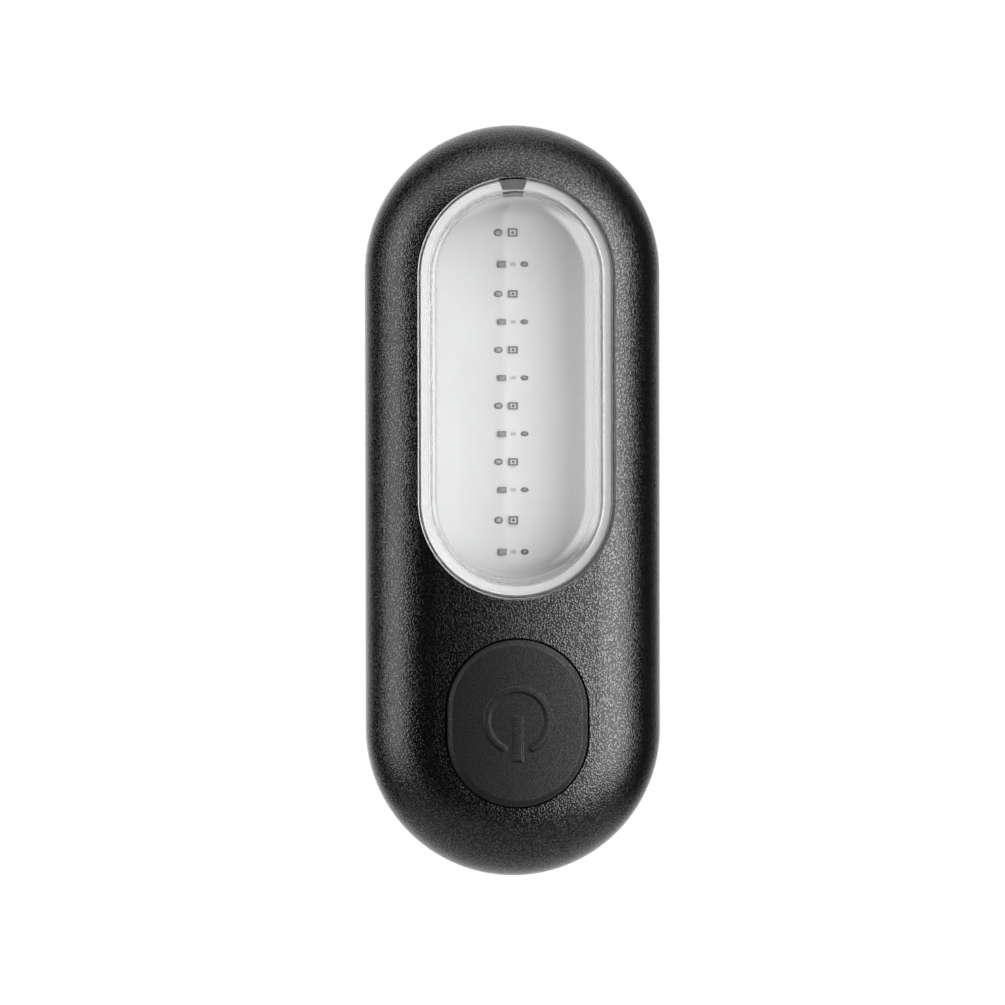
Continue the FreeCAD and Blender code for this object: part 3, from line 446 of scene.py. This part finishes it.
def lens_profile():
    """Crown, shoulder, corner and wall of the dome, its flange, and the hollow behind it."""
    profile = Profile()
    tilt = math.radians(DOME_CORNER_TILT)
    step = DOME_SHOULDER_RADIUS - DOME_CORNER_RADIUS
    corner_x = DOME_HALF_WIDTH - DOME_CORNER_RADIUS
    shoulder_x = corner_x - step * math.sin(tilt)
    shoulder_rise = math.sqrt((DOME_CROWN_RADIUS - DOME_SHOULDER_RADIUS) ** 2 - shoulder_x ** 2)
    crown_centre = DOME_TOP_DEPTH - DOME_CROWN_RADIUS
    shoulder_depth = crown_centre + shoulder_rise
    corner_depth = shoulder_depth + step * math.cos(tilt)
    crown_end = math.degrees(math.atan2(shoulder_rise, shoulder_x))
    corner_start = 90 - DOME_CORNER_TILT
    shoulder = (shoulder_x, shoulder_depth)
    profile.arc((0, crown_centre), DOME_CROWN_RADIUS, 90, crown_end, CROWN_STEPS)
    profile.arc(shoulder, DOME_SHOULDER_RADIUS, crown_end, corner_start, SHOULDER_STEPS)
    profile.arc((corner_x, corner_depth), DOME_CORNER_RADIUS, corner_start, 0, CORNER_STEPS)
    foot = (DOME_HALF_WIDTH + FOOT_FILLET, FLANGE_FRONT + FOOT_FILLET)
    profile.line((DOME_HALF_WIDTH, FLANGE_FRONT + FOOT_FILLET))
    profile.arc(foot, FOOT_FILLET, 180, 270, FILLET_STEPS, inward=True)
    rim = (RIM_RADIUS - RIM_ROUND, FLANGE_FRONT - RIM_ROUND)
    profile.line((RIM_RADIUS - RIM_ROUND, FLANGE_FRONT))
    profile.arc(rim, RIM_ROUND, 90, 0, FILLET_STEPS)
    hollow_x = DOME_HALF_WIDTH - DOME_WALL
    hollow_radius = DOME_SHOULDER_RADIUS - DOME_WALL
    start = math.degrees(math.acos((hollow_x - shoulder_x) / hollow_radius))
    edge_depth = shoulder_depth + hollow_radius * math.sin(math.radians(start))
    profile.line((RIM_RADIUS, GASKET_BACK), (FLANGE_RADIUS, GASKET_BACK), (FLANGE_RADIUS, FLANGE_BACK),
                 (LIP_RECESS_RADIUS, FLANGE_BACK), (LIP_RECESS_RADIUS, LIP_ROOF), (hollow_x, LIP_ROOF),
                 (hollow_x, edge_depth))
    profile.arc(shoulder, hollow_radius, start, 90, HOLLOW_STEPS, inward=True)
    profile.line((0, profile.last().y))
    return profile.spans


def stadium_directions():
    """Places round the lens: the end they belong to, and the direction outward."""
    directions = []
    for end in (1, -1):
        for step in range(LENS_CAP_STEPS + 1):
            turn = math.pi * step / LENS_CAP_STEPS + (0 if end == 1 else math.pi)
            directions.append((end, math.cos(turn), math.sin(turn)))
    return directions


def section_points(spans):
    """The points of all spans in order, without repeats where two spans meet."""
    points = []
    for span in spans:
        for point, _ in span:
            if not points or (points[-1] - point).length > SAME_POINT:
                points.append(point)
    return points


def dome_end_inset(point):
    """The dome's ends stand a little further in from the opening than its sides do."""
    inner = point.x < DOME_HALF_WIDTH + FOOT_FILLET + SAME_POINT
    return LENS_DOME_END_INSET if inner and point.y > LIP_ROOF - SAME_POINT else 0.0


def lens_ring(bm, point, directions):
    """A point of the section carried round the lens; on the spine each end has one vertex.

    Depths run forward, so that y is their negative.
    """
    spine_end = LENS_HALF_STRAIGHT - dome_end_inset(point)
    made = {}
    ring = []
    for end, across, up in directions:
        key = (end, 0) if point.x < SAME_POINT else (end, across, up)
        if key not in made:
            x = point.x * across
            z = LENS_Z + end * spine_end + point.x * up
            made[key] = bm.verts.new((x * MM, -point.y * MM, z * MM))
        ring.append(made[key])
    return ring


def lens_face(bm, corners):
    """A face and its exact normals, from corners of (vertex, section normal, direction)."""
    marks = {}
    for vert, normal, (_, across, up) in corners:
        marks.setdefault(vert, []).append(Vector((normal.x * across, -normal.y, normal.x * up)))
    if len(marks) < 3:
        return None, None
    face = bm.faces.new(list(marks))
    face.smooth = True
    return face, {vert: sum(found, Vector()).normalized() for vert, found in marks.items()}


def sweep_lens(name, spans):
    """A mesh of the half section carried round the lens, with the section's own normals."""
    directions = stadium_directions()
    bm = bmesh.new()
    rings = [lens_ring(bm, point, directions) for point in section_points(spans)]
    normals = {}
    index = 0
    for span in spans:
        for (_, first), (_, second) in zip(span, span[1:]):
            near, far = rings[index], rings[index + 1]
            index += 1
            for step, direction in enumerate(directions):
                after = (step + 1) % len(directions)
                face, found = lens_face(bm, (
                    (near[step], first, direction), (far[step], second, direction),
                    (far[after], second, directions[after]), (near[after], first, directions[after])))
                if face:
                    normals[face] = found
    bm.verts.index_update()
    bm.faces.index_update()
    loops = [normals[face][loop.vert] for face in bm.faces for loop in face.loops]
    mesh = bpy.data.meshes.new(name)
    bm.to_mesh(mesh)
    bm.free()
    mesh.normals_split_custom_set(loops)
    return add_object(name, mesh)


lens = sweep_lens("lens_piece", lens_profile())
lens.data.materials.append(MATERIALS["lens"])
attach(lens, "housing")
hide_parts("lens")


# Button: a closed mesh, with rings fine enough for the raised power symbol on its face

BUTTON_Z = -21.9
BUTTON_HALF_STRAIGHT = 1.3
BUTTON_RADIUS = 7.03
BUTTON_CREST_DEPTH = 21.0
BUTTON_CROWN_RADIUS = 41.5
BUTTON_BEVEL_WIDTH = 0.5
BUTTON_BEVEL_DROP = 0.3
BUTTON_EDGE_RADIUS = 0.12
BUTTON_FLANGE_RADIUS = 7.83
BUTTON_FLANGE_FRONT = 17.55
BUTTON_FLANGE_BACK = 16.65
BUTTON_INNER_RADIUS = 5.83
BUTTON_INNER_DEPTH = 19.3
BUTTON_POST_RADIUS = 2.0
BUTTON_POST_END = 15.65
BUTTON_POST_CHAMFER = 0.25
BUTTON_FACE_RADIUS = BUTTON_RADIUS - BUTTON_EDGE_RADIUS - BUTTON_BEVEL_WIDTH
BEVEL_STEPS = 4
FACE_RINGS = 120
FACE_CAP_STEPS = 120
FACE_SIDE_STEPS = 24

SYMBOL_SHIFT = 0.3
SYMBOL_LINE_RADIUS = 3.1
SYMBOL_HALF_STROKE = 0.3
SYMBOL_GAP_ANGLE = 28.0
SYMBOL_BAR_HALF_WIDTH = 0.45
SYMBOL_BAR_TOP = 0.45
SYMBOL_BAR_END = -4.05
SYMBOL_RISE = 0.2
SYMBOL_SOFTNESS = 0.22


def symbol_rise(x, z):
    """How far the power symbol stands over the face, at a place from the symbol's centre."""
    from_below = math.degrees(math.atan2(abs(x), -z))
    if from_below >= SYMBOL_GAP_ANGLE:
        ring = abs(math.hypot(x, z) - SYMBOL_LINE_RADIUS) - SYMBOL_HALF_STROKE
    else:
        gap = math.radians(SYMBOL_GAP_ANGLE)
        end_x = SYMBOL_LINE_RADIUS * math.sin(gap)
        end_z = -SYMBOL_LINE_RADIUS * math.cos(gap)
        ring = math.hypot(abs(x) - end_x, z - end_z) - SYMBOL_HALF_STROKE
    bar = max(abs(x) - SYMBOL_BAR_HALF_WIDTH, z - SYMBOL_BAR_TOP, SYMBOL_BAR_END - z)
    share = min(max(0.5 - min(ring, bar) / SYMBOL_SOFTNESS, 0.0), 1.0)
    return SYMBOL_RISE * share * share * (3 - 2 * share)


def button_spine():
    """Places round a stadium: the spine's height there, and the direction outward."""
    spots = []
    for end in (1, -1):
        start = 0.0 if end == 1 else math.pi
        for step in range(FACE_CAP_STEPS):
            turn = start + math.pi * step / FACE_CAP_STEPS
            spots.append((end * BUTTON_HALF_STRAIGHT, math.cos(turn), math.sin(turn)))
        for step in range(FACE_SIDE_STEPS):
            share = 1 - 2 * step / FACE_SIDE_STEPS
            spots.append((end * BUTTON_HALF_STRAIGHT * share, -end, 0.0))
    return spots


def crown_depth(x):
    """The button's face bends across the light only, as the shell around it does."""
    return BUTTON_CREST_DEPTH - BUTTON_CROWN_RADIUS + math.sqrt(BUTTON_CROWN_RADIUS ** 2 - x ** 2)


def button_rim():
    """Rings past the face: the bevel, a small round and the top of the side, as (radius, drop)."""
    rings = []
    for step in range(1, BEVEL_STEPS + 1):
        share = step / BEVEL_STEPS
        rings.append((BUTTON_FACE_RADIUS + BUTTON_BEVEL_WIDTH * share, BUTTON_BEVEL_DROP * share))
    slope = math.atan2(BUTTON_BEVEL_DROP, BUTTON_BEVEL_WIDTH)
    inner_radius = BUTTON_RADIUS - BUTTON_EDGE_RADIUS
    start_drop = BUTTON_BEVEL_DROP + BUTTON_EDGE_RADIUS * math.cos(slope)
    for step in range(1, BEVEL_STEPS + 1):
        turn = slope + (math.pi / 2 - slope) * step / BEVEL_STEPS
        rings.append((inner_radius + BUTTON_EDGE_RADIUS * math.sin(turn),
                      start_drop - BUTTON_EDGE_RADIUS * math.cos(turn)))
    return rings


def button_inside():
    """Rings from the side's foot round the flange, the hollow and the post, as (radius, depth)."""
    post_front = BUTTON_POST_END + BUTTON_POST_CHAMFER
    return ((BUTTON_RADIUS, BUTTON_FLANGE_FRONT), (BUTTON_FLANGE_RADIUS, BUTTON_FLANGE_FRONT),
            (BUTTON_FLANGE_RADIUS, BUTTON_FLANGE_BACK), (BUTTON_INNER_RADIUS, BUTTON_FLANGE_BACK),
            (BUTTON_INNER_RADIUS, BUTTON_INNER_DEPTH), (BUTTON_POST_RADIUS, BUTTON_INNER_DEPTH),
            (BUTTON_POST_RADIUS, post_front),
            (BUTTON_POST_RADIUS - BUTTON_POST_CHAMFER, BUTTON_POST_END))


def button_rows(bm, spots):
    """Rings of vertices from the symbol's centre over the face, down the side and round the inside."""
    def place(x, depth, z):
        return bm.verts.new((x * MM, -depth * MM, (BUTTON_Z + z) * MM))

    rows = []
    for ring in range(FACE_RINGS + 1):
        share = ring / FACE_RINGS
        row = []
        for spine, across, up in spots[:1] if ring == 0 else spots:
            x = share * BUTTON_FACE_RADIUS * across
            z = SYMBOL_SHIFT + share * (spine + BUTTON_FACE_RADIUS * up - SYMBOL_SHIFT)
            row.append(place(x, crown_depth(x) + symbol_rise(x, z - SYMBOL_SHIFT), z))
        rows.append(row)
    for radius, drop in button_rim():
        rows.append([place(radius * across, crown_depth(radius * across) - drop, spine + radius * up)
                     for spine, across, up in spots])
    for radius, depth in button_inside():
        # The post is round, so that the stadium's spine counts for nothing there
        stretch = 1.0 if radius > BUTTON_POST_RADIUS else 0.0
        rows.append([place(radius * across, depth, stretch * spine + radius * up)
                     for spine, across, up in spots])
    return rows


def mark_sharp_edges(bm):
    for edge in bm.edges:
        edge.smooth = edge.calc_face_angle(0.0) < SHARP_ANGLE


def add_button():
    mesh = bpy.data.meshes.new("button_cap")
    bm = bmesh.new()
    spots = button_spine()
    rows = button_rows(bm, spots)
    for inner, outer in zip(rows, rows[1:]):
        for step in range(len(spots)):
            after = (step + 1) % len(spots)
            if len(inner) == 1:
                bm.faces.new((inner[0], outer[after], outer[step]))
            else:
                bm.faces.new((inner[step], inner[after], outer[after], outer[step]))
    bm.faces.new(rows[-1])
    bmesh.ops.remove_doubles(bm, verts=bm.verts, dist=SAME_POINT * MM)
    bmesh.ops.recalc_face_normals(bm, faces=bm.faces)
    for face in bm.faces:
        face.smooth = True
    mark_sharp_edges(bm)
    bm.to_mesh(mesh)
    bm.free()
    button = add_object("button_cap", mesh)
    button.data.materials.append(MATERIALS["button"])
    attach(button, "button")
    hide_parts("power_button")


add_button()


# Parts on the front of the board, one small master of each set in rows

BOARD_FRONT = 10.9
ROW_PITCH = 2.8
FIRST_ROW_Z = 26.25
LED_ROWS = 6
LED_X = 0.17
DOT_X = -1.14
RESISTOR_X = -0.82
VIA_X = 1.16

# Sizes on the board are (width, height); heights over it are (low, high)
LED_SIZE = (0.8, 0.7)
LED_WALL = 0.12
LED_RISE = 0.25
LED_EDGE = 0.03
LED_WALL_SLOPE = 0.02
LED_FLOOR = 0.06
WINDOW_SIZE = (0.62, 0.52)
WINDOW_HEIGHTS = (0.0, 0.13)
DIE_SIZE = (0.24, 0.24)
DIE_HEIGHTS = (0.12, 0.17)
DIE_X = -0.02
DIE_TURN = 45.0
RESISTOR_SIZE = (0.74, 0.56)
RESISTOR_HEIGHTS = (0.0, 0.2)
PRINT_SIZE = (0.44, 0.38)
PRINT_HEIGHTS = (0.19, 0.215)
BARE_PAD_SIZE = (0.5, 0.36)
BARE_PAD_HEIGHTS = (0.0, 0.02)
DOT_SIZE = (0.8, 0.66)
VIA_SIZE = (0.72, 0.52)
# A pad and the solder on it, in rings of (share of the size, height)
PAD_RINGS = ((1.0, 0.0), (0.97, 0.03), (0.85, 0.05), (0.6, 0.045))
MOUND_RINGS = ((0.62, 0.0), (0.6, 0.06), (0.45, 0.085), (0.2, 0.1))
OVAL_STEPS = 32
BEVEL_SEGMENTS = 3


def master(name, bm):
    """An object outside the scene, to be set out by Geometry Nodes or linked."""
    mesh = bpy.data.meshes.new(name)
    bm.to_mesh(mesh)
    bm.free()
    return bpy.data.objects.new(name, mesh)


def round_edges(bm, edges, width):
    bmesh.ops.bevel(bm, geom=edges, offset=width, segments=BEVEL_SEGMENTS, affect="EDGES", profile=0.5)


def skin(bm, loops):
    """Faces between loops of equal length and over both ends. Returns the faces between them."""
    sides = []
    for lower, upper in zip(loops, loops[1:]):
        for spot in range(len(lower)):
            after = (spot + 1) % len(lower)
            sides.append(bm.faces.new((lower[spot], lower[after], upper[after], upper[spot])))
    bm.faces.new(loops[0])
    bm.faces.new(loops[-1])
    bmesh.ops.recalc_face_normals(bm, faces=bm.faces)
    return sides


def block(name, size, heights, bevel, x=0.0, turn=0.0):
    """A small block on the board with rounded edges, turned about its middle in degrees."""
    width, height = size
    low, high = heights
    bm = bmesh.new()
    bmesh.ops.create_cube(bm, size=1.0)
    for vert in bm.verts:
        y = vert.co.y * (high - low) - (high + low) / 2
        vert.co = Vector((vert.co.x * width, y, vert.co.z * height))
    round_edges(bm, list(bm.edges), bevel)
    spin = Matrix.Rotation(math.radians(turn), 4, "Y")
    shift = Matrix.Translation((x, 0, 0))
    bm.transform(Matrix.Scale(MM, 4) @ shift @ spin)
    return master(name, bm)


def led_wall():
    """A rectangular frame standing on the board: the walls of an LED package and its floor."""
    width, height = LED_SIZE
    section = ((0.0, 0.0), (0.0, LED_RISE - LED_EDGE), (LED_EDGE, LED_RISE), (LED_WALL, LED_RISE),
               (LED_WALL + LED_WALL_SLOPE, LED_FLOOR))
    bm = bmesh.new()
    loops = []
    for inset, level in section:
        half_x = width / 2 - inset
        half_z = height / 2 - inset
        corners = ((-half_x, -half_z), (half_x, -half_z), (half_x, half_z), (-half_x, half_z))
        loops.append([bm.verts.new((x * MM, -level * MM, z * MM)) for x, z in corners])
    skin(bm, loops)
    return master("led_wall", bm)


def oval(name, size, rings):
    """A round pad or mound of solder on the board."""
    width, height = size
    bm = bmesh.new()
    loops = []
    for share, level in rings:
        loop = []
        for step in range(OVAL_STEPS):
            turn = 2 * math.pi * step / OVAL_STEPS
            loop.append(bm.verts.new((width / 2 * share * math.cos(turn) * MM, -level * MM,
                                      height / 2 * share * math.sin(turn) * MM)))
        loops.append(loop)
    for face in skin(bm, loops):
        face.smooth = True
    return master(name, bm)


def rows_tree():
    """The Geometry Nodes that set a master down a line and give the copies their material."""
    tree = bpy.data.node_groups.new("repeats_down_a_line", "GeometryNodeTree")
    sockets = (("Geometry", "NodeSocketGeometry"), ("Master", "NodeSocketObject"),
               ("Count", "NodeSocketInt"), ("First place", "NodeSocketVector"),
               ("Pitch", "NodeSocketVector"), ("Material", "NodeSocketMaterial"))
    for name, kind in sockets:
        tree.interface.new_socket(name, in_out="INPUT", socket_type=kind)
    tree.interface.new_socket("Geometry", in_out="OUTPUT", socket_type="NodeSocketGeometry")
    graph = Graph(tree)
    given = graph.node("NodeGroupInput").outputs
    line = graph.node("GeometryNodeMeshLine", {
        "Count": given["Count"], "Start Location": given["First place"], "Offset": given["Pitch"]})
    source = graph.node("GeometryNodeObjectInfo", {"Object": given["Master"]})
    placed = graph.node("GeometryNodeInstanceOnPoints", {"Points": line.outputs[0],
                                                         "Instance": source.outputs["Geometry"]})
    real = graph.node("GeometryNodeRealizeInstances", {"Geometry": placed.outputs[0]})
    finish = graph.node("GeometryNodeSetMaterial", {"Geometry": real.outputs[0],
                                                    "Material": given["Material"]})
    graph.node("NodeGroupOutput", {"Geometry": finish.outputs[0]})
    return tree


ROWS = rows_tree()


def add_repeats(name, source, count, first_place, pitch, material):
    """A piece fixed to the housing that holds the master count times, down a line."""
    holder = add_object(name + "_holder", bpy.data.meshes.new(name + "_holder"))
    modifier = holder.modifiers.new("rows", "NODES")
    modifier.node_group = ROWS
    inputs = {
        "Master": source,
        "Count": count,
        "First place": tuple(part * MM for part in first_place),
        "Pitch": (0.0, 0.0, pitch * MM),
        "Material": material,
    }
    for item in ROWS.interface.items_tree:
        if item.in_out == "INPUT" and item.name in inputs:
            modifier[item.identifier] = inputs[item.name]
    holder.update_tag()
    depsgraph = bpy.context.evaluated_depsgraph_get()
    mesh = bpy.data.meshes.new_from_object(holder.evaluated_get(depsgraph), depsgraph=depsgraph)
    mesh.name = name
    piece = add_object(name, mesh)
    bpy.data.objects.remove(holder)
    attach(piece, "housing")
    return piece


def add_rows(name, source, x, first_row, material):
    """Every other row of the board gets the master; first_row is 0 or 1."""
    first_place = (x, -BOARD_FRONT, FIRST_ROW_Z - first_row * ROW_PITCH)
    return add_repeats(name, source, LED_ROWS, first_place, -2 * ROW_PITCH, material)


def add_board_parts():
    """LED packages with a round pad beside each, and resistors with a round and a faint pad."""
    walls = add_rows("led_walls", led_wall(), LED_X, 0, MATERIALS["led"])
    window_block = block("led_window", WINDOW_SIZE, WINDOW_HEIGHTS, bevel=0.02)
    add_rows("led_windows", window_block, LED_X, 0, MATERIALS["phosphor"])
    die = block("led_die", DIE_SIZE, DIE_HEIGHTS, bevel=0.015, x=DIE_X, turn=DIE_TURN)
    add_rows("led_dies", die, LED_X, 0, MATERIALS["die"])
    body = block("resistor", RESISTOR_SIZE, RESISTOR_HEIGHTS, bevel=0.03)
    resistors = add_rows("resistors", body, RESISTOR_X, 1, MATERIALS["resistor"])
    print_face = block("resistor_print", PRINT_SIZE, PRINT_HEIGHTS, bevel=0.01)
    add_rows("resistor_prints", print_face, RESISTOR_X, 1, MATERIALS["print"])
    dot_ring = oval("dot_ring", DOT_SIZE, PAD_RINGS)
    dots = add_rows("dot_rings", dot_ring, DOT_X, 0, MATERIALS["pad"])
    dot_mound = oval("dot_mound", DOT_SIZE, MOUND_RINGS)
    add_rows("dot_mounds", dot_mound, DOT_X, 0, MATERIALS["bare"])
    via_ring = oval("via_ring", VIA_SIZE, PAD_RINGS)
    add_rows("via_rings", via_ring, VIA_X, 1, MATERIALS["via"])
    via_mound = oval("via_mound", VIA_SIZE, MOUND_RINGS)
    add_rows("via_mounds", via_mound, VIA_X, 1, MATERIALS["pad"])
    faint = block("bare_pad", BARE_PAD_SIZE, BARE_PAD_HEIGHTS, bevel=0.008)
    add_rows("bare_pads", faint, LED_X, 1, MATERIALS["bare"])
    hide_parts("led_chips")
    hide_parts("led_resistors")
    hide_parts("solder_dots")


add_board_parts()


# Saddle pad: a curved rubber plate with ribs that grip the seat post

POST_RADIUS = 15.9
PAD_THICKNESS = 2.0
PAD_HALF_WIDTH = 11.3
PAD_HALF_LENGTH = 12.6
PAD_EDGE_ROUND = 0.25
PAD_COLUMNS = 48
RIB_HEIGHT = 0.7
RIB_ROOT = 0.15
RIB_HALF_WIDTH = 0.55
RIB_SIDE_INSET = 0.25
RIB_ROUND = 0.22
RIB_ROUND_STEPS = 4
RIB_COUNT = 13
RIB_PITCH = 1.85


def pad_place(x, radius, z):
    """A place on a cylinder about the seat post's axis; the valley's lowest line is at y = 0."""
    return Vector((x * MM, (POST_RADIUS - math.sqrt(radius ** 2 - x ** 2)) * MM, z * MM))


def curved_bar(name, half_width, section, edge_round=0.0):
    """A closed section of (radius, z) carried across the pad, between flat sides at x = half_width."""
    bm = bmesh.new()
    loops = []
    for column in range(PAD_COLUMNS + 1):
        x = half_width * (2 * column / PAD_COLUMNS - 1)
        loops.append([bm.verts.new(pad_place(x, radius, z)) for radius, z in section])
    skin(bm, loops)
    for face in bm.faces:
        face.smooth = True
    if edge_round:
        sharp = [edge for edge in bm.edges if edge.calc_face_angle(0.0) > SHARP_ANGLE]
        round_edges(bm, sharp, edge_round * MM)
    mark_sharp_edges(bm)
    return master(name, bm)


def rib_section():
    """Root in the plate, straight flanks and a rounded crest, as (radius, z)."""
    root = POST_RADIUS + RIB_HEIGHT + RIB_ROOT
    section = [(root, -RIB_HALF_WIDTH)]
    for side in (-1, 1):
        for step in range(RIB_ROUND_STEPS + 1):
            share = step / RIB_ROUND_STEPS
            turn = math.pi / 2 * (share if side == -1 else 1 - share)
            section.append((POST_RADIUS + RIB_ROUND * (1 - math.sin(turn)),
                            side * (RIB_HALF_WIDTH - RIB_ROUND + RIB_ROUND * math.cos(turn))))
    section.append((root, RIB_HALF_WIDTH))
    return section


def add_saddle_pad():
    """The plate, whose ribs' crests lie on the seat post, and the ribs."""
    plate_front = POST_RADIUS + RIB_HEIGHT
    plate_back = POST_RADIUS + PAD_THICKNESS
    plate = curved_bar("pad_plate", PAD_HALF_WIDTH, [
        (plate_front, -PAD_HALF_LENGTH), (plate_front, PAD_HALF_LENGTH),
        (plate_back, PAD_HALF_LENGTH), (plate_back, -PAD_HALF_LENGTH)], edge_round=PAD_EDGE_ROUND)
    plate.data.materials.append(MATERIALS["silicone"])
    scene.collection.objects.link(plate)
    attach(plate, "housing")
    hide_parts("saddle_pad")
    rib = curved_bar("pad_rib", PAD_HALF_WIDTH - RIB_SIDE_INSET, rib_section())
    first_place = (0.0, 0.0, RIB_PITCH * (RIB_COUNT - 1) / 2)
    add_repeats("pad_ribs", rib, RIB_COUNT, first_place, -RIB_PITCH, MATERIALS["silicone"])


add_saddle_pad()


# Floor, world and lights

def add_floor():
    """A plain pale floor well below the light, which hangs on its post."""
    mesh = bpy.data.meshes.new("floor")
    half = FLOOR_SIZE / 2
    z = cad_low.z - FLOOR_DROP
    mesh.from_pydata([(-half, -half, z), (half, -half, z), (half, half, z), (-half, half, z)], [],
                     [(0, 1, 2, 3)])
    floor = add_object("floor", mesh)
    material, graph, shader, _ = new_material("pale_floor")
    speckle = use_group(graph, BLOTCHES, Size=40 * MM, Contrast=0.6)
    graph.feed(shader.inputs["Base Color"], tint(graph, speckle["Mask"], grey(0.4), grey(0.43)))
    shader.inputs["Roughness"].default_value = 0.9
    flat = graph.node("ShaderNodeVectorMath", {0: graph.object_coordinates(), 1: (1.0, 1.0, 0.0)},
                      operation="MULTIPLY")
    length = graph.node("ShaderNodeVectorMath", {0: flat.outputs[0]}, operation="LENGTH")
    fade_start, fade_end = (half * share for share in FLOOR_FADE)
    graph.feed(shader.inputs["Alpha"],
               graph.ramp(length.outputs["Value"], fade_start, fade_end, 1.0, 0.0))
    mesh.materials.append(material)


# Studio light by direction: azimuths from the front towards the right, elevations, in degrees.
# Each box rises over its first two numbers and falls over its last two.
SOFTBOXES = (
    # name, azimuths, elevations, radiance
    ("left", (-114, -80, -72, -58), (-30, -8, 28, 50), 6.4),
    ("right", (15, 30, 59, 85), (-38, -14, 28, 50), 11.4),
    ("fill", (-2, 1, 16, 30), (-24, -4, 28, 50), 2.3),
    ("top", (-115, -60, 60, 115), (30, 56, 90, 91), 4.2),
)
BEHIND_START = 132.0
BEHIND_FULL = 164.0
BEHIND_LEVEL = 1.0
ROOM_LEVEL = 0.06


def window(graph, value, limits):
    """1 between the two middle limits, falling smoothly to 0 at the outer ones."""
    low, low_full, high_full, high = (math.radians(limit) for limit in limits)
    rise = graph.ramp(value, low, low_full)
    fall = graph.ramp(value, high_full, high, 1.0, 0.0)
    return graph.math("MULTIPLY", rise, fall)


def make_world():
    """White for the camera; for light, soft boxes before a dim room and white behind the object."""
    world = bpy.data.worlds.new("studio")
    scene.world = world
    world.use_nodes = True
    graph = Graph(world.node_tree)
    graph.nodes.clear()
    direction = graph.node("ShaderNodeTexCoord").outputs["Generated"]
    parts = graph.node("ShaderNodeSeparateXYZ", {0: direction}).outputs
    toward = graph.math("MULTIPLY", parts["Y"], -1.0)
    azimuth = graph.math("ARCTAN2", parts["X"], toward)
    elevation = graph.math("ARCSINE", parts["Z"])
    level = ROOM_LEVEL
    for _, azimuths, elevations, radiance in SOFTBOXES:
        shape = graph.math("MULTIPLY", window(graph, azimuth, azimuths),
                           window(graph, elevation, elevations))
        level = graph.math("ADD", graph.math("MULTIPLY", shape, radiance), level)
    aside = graph.math("ABSOLUTE", azimuth)
    behind = graph.ramp(aside, math.radians(BEHIND_START), math.radians(BEHIND_FULL),
                        0.0, BEHIND_LEVEL)
    level = graph.math("ADD", level, behind)
    studio = graph.node("ShaderNodeBackground", {"Color": (1, 1, 1, 1), "Strength": level})
    white = graph.node("ShaderNodeBackground", {"Color": (1, 1, 1, 1), "Strength": 1.0})
    path = graph.node("ShaderNodeLightPath").outputs
    seen = graph.math("MAXIMUM", path["Is Camera Ray"], path["Is Transmission Ray"])
    mix = graph.node("ShaderNodeMixShader", {0: seen, 1: studio.outputs[0], 2: white.outputs[0]})
    output = graph.node("ShaderNodeOutputWorld")
    graph.tree.links.new(mix.outputs[0], output.inputs["Surface"])


def direction_from(azimuth, elevation):
    """The unit vector towards a point seen at this azimuth and elevation, 0 being the front."""
    a = math.radians(azimuth)
    e = math.radians(elevation)
    return Vector((math.sin(a) * math.cos(e), -math.cos(a) * math.cos(e), math.sin(e)))


def add_camera():
    """Set so that the silhouette's centre falls on its pixel at the photograph's scale."""
    data = bpy.data.cameras.new("camera")
    data.sensor_width = SENSOR_WIDTH
    data.lens = data.sensor_width * CAMERA_DISTANCE / (IMAGE_PIXELS / PIXELS_PER_MM * MM)
    data.clip_start = CAMERA_CLIP_START
    camera = add_object("camera", data)
    away = direction_from(CAMERA_AZIMUTH, CAMERA_ELEVATION)
    turn = away.to_track_quat("Z", "Y")
    right = turn @ Vector((1, 0, 0))
    up = turn @ Vector((0, 1, 0))
    middle = IMAGE_PIXELS / 2
    offset_x = (SILHOUETTE_CENTRE[0] - middle) / PIXELS_PER_MM * MM
    offset_y = (middle - SILHOUETTE_CENTRE[1]) / PIXELS_PER_MM * MM
    aim = Vector((0, -SILHOUETTE_DEPTH, 0)) - right * offset_x - up * offset_y
    camera.location = aim + away * CAMERA_DISTANCE
    roll = Euler((0, 0, math.radians(CAMERA_ROLL))).to_matrix()
    camera.rotation_euler = (turn.to_matrix() @ roll).to_euler()
    scene.camera = camera


add_floor()
make_world()
add_camera()
scene.view_settings.view_transform = "Standard"
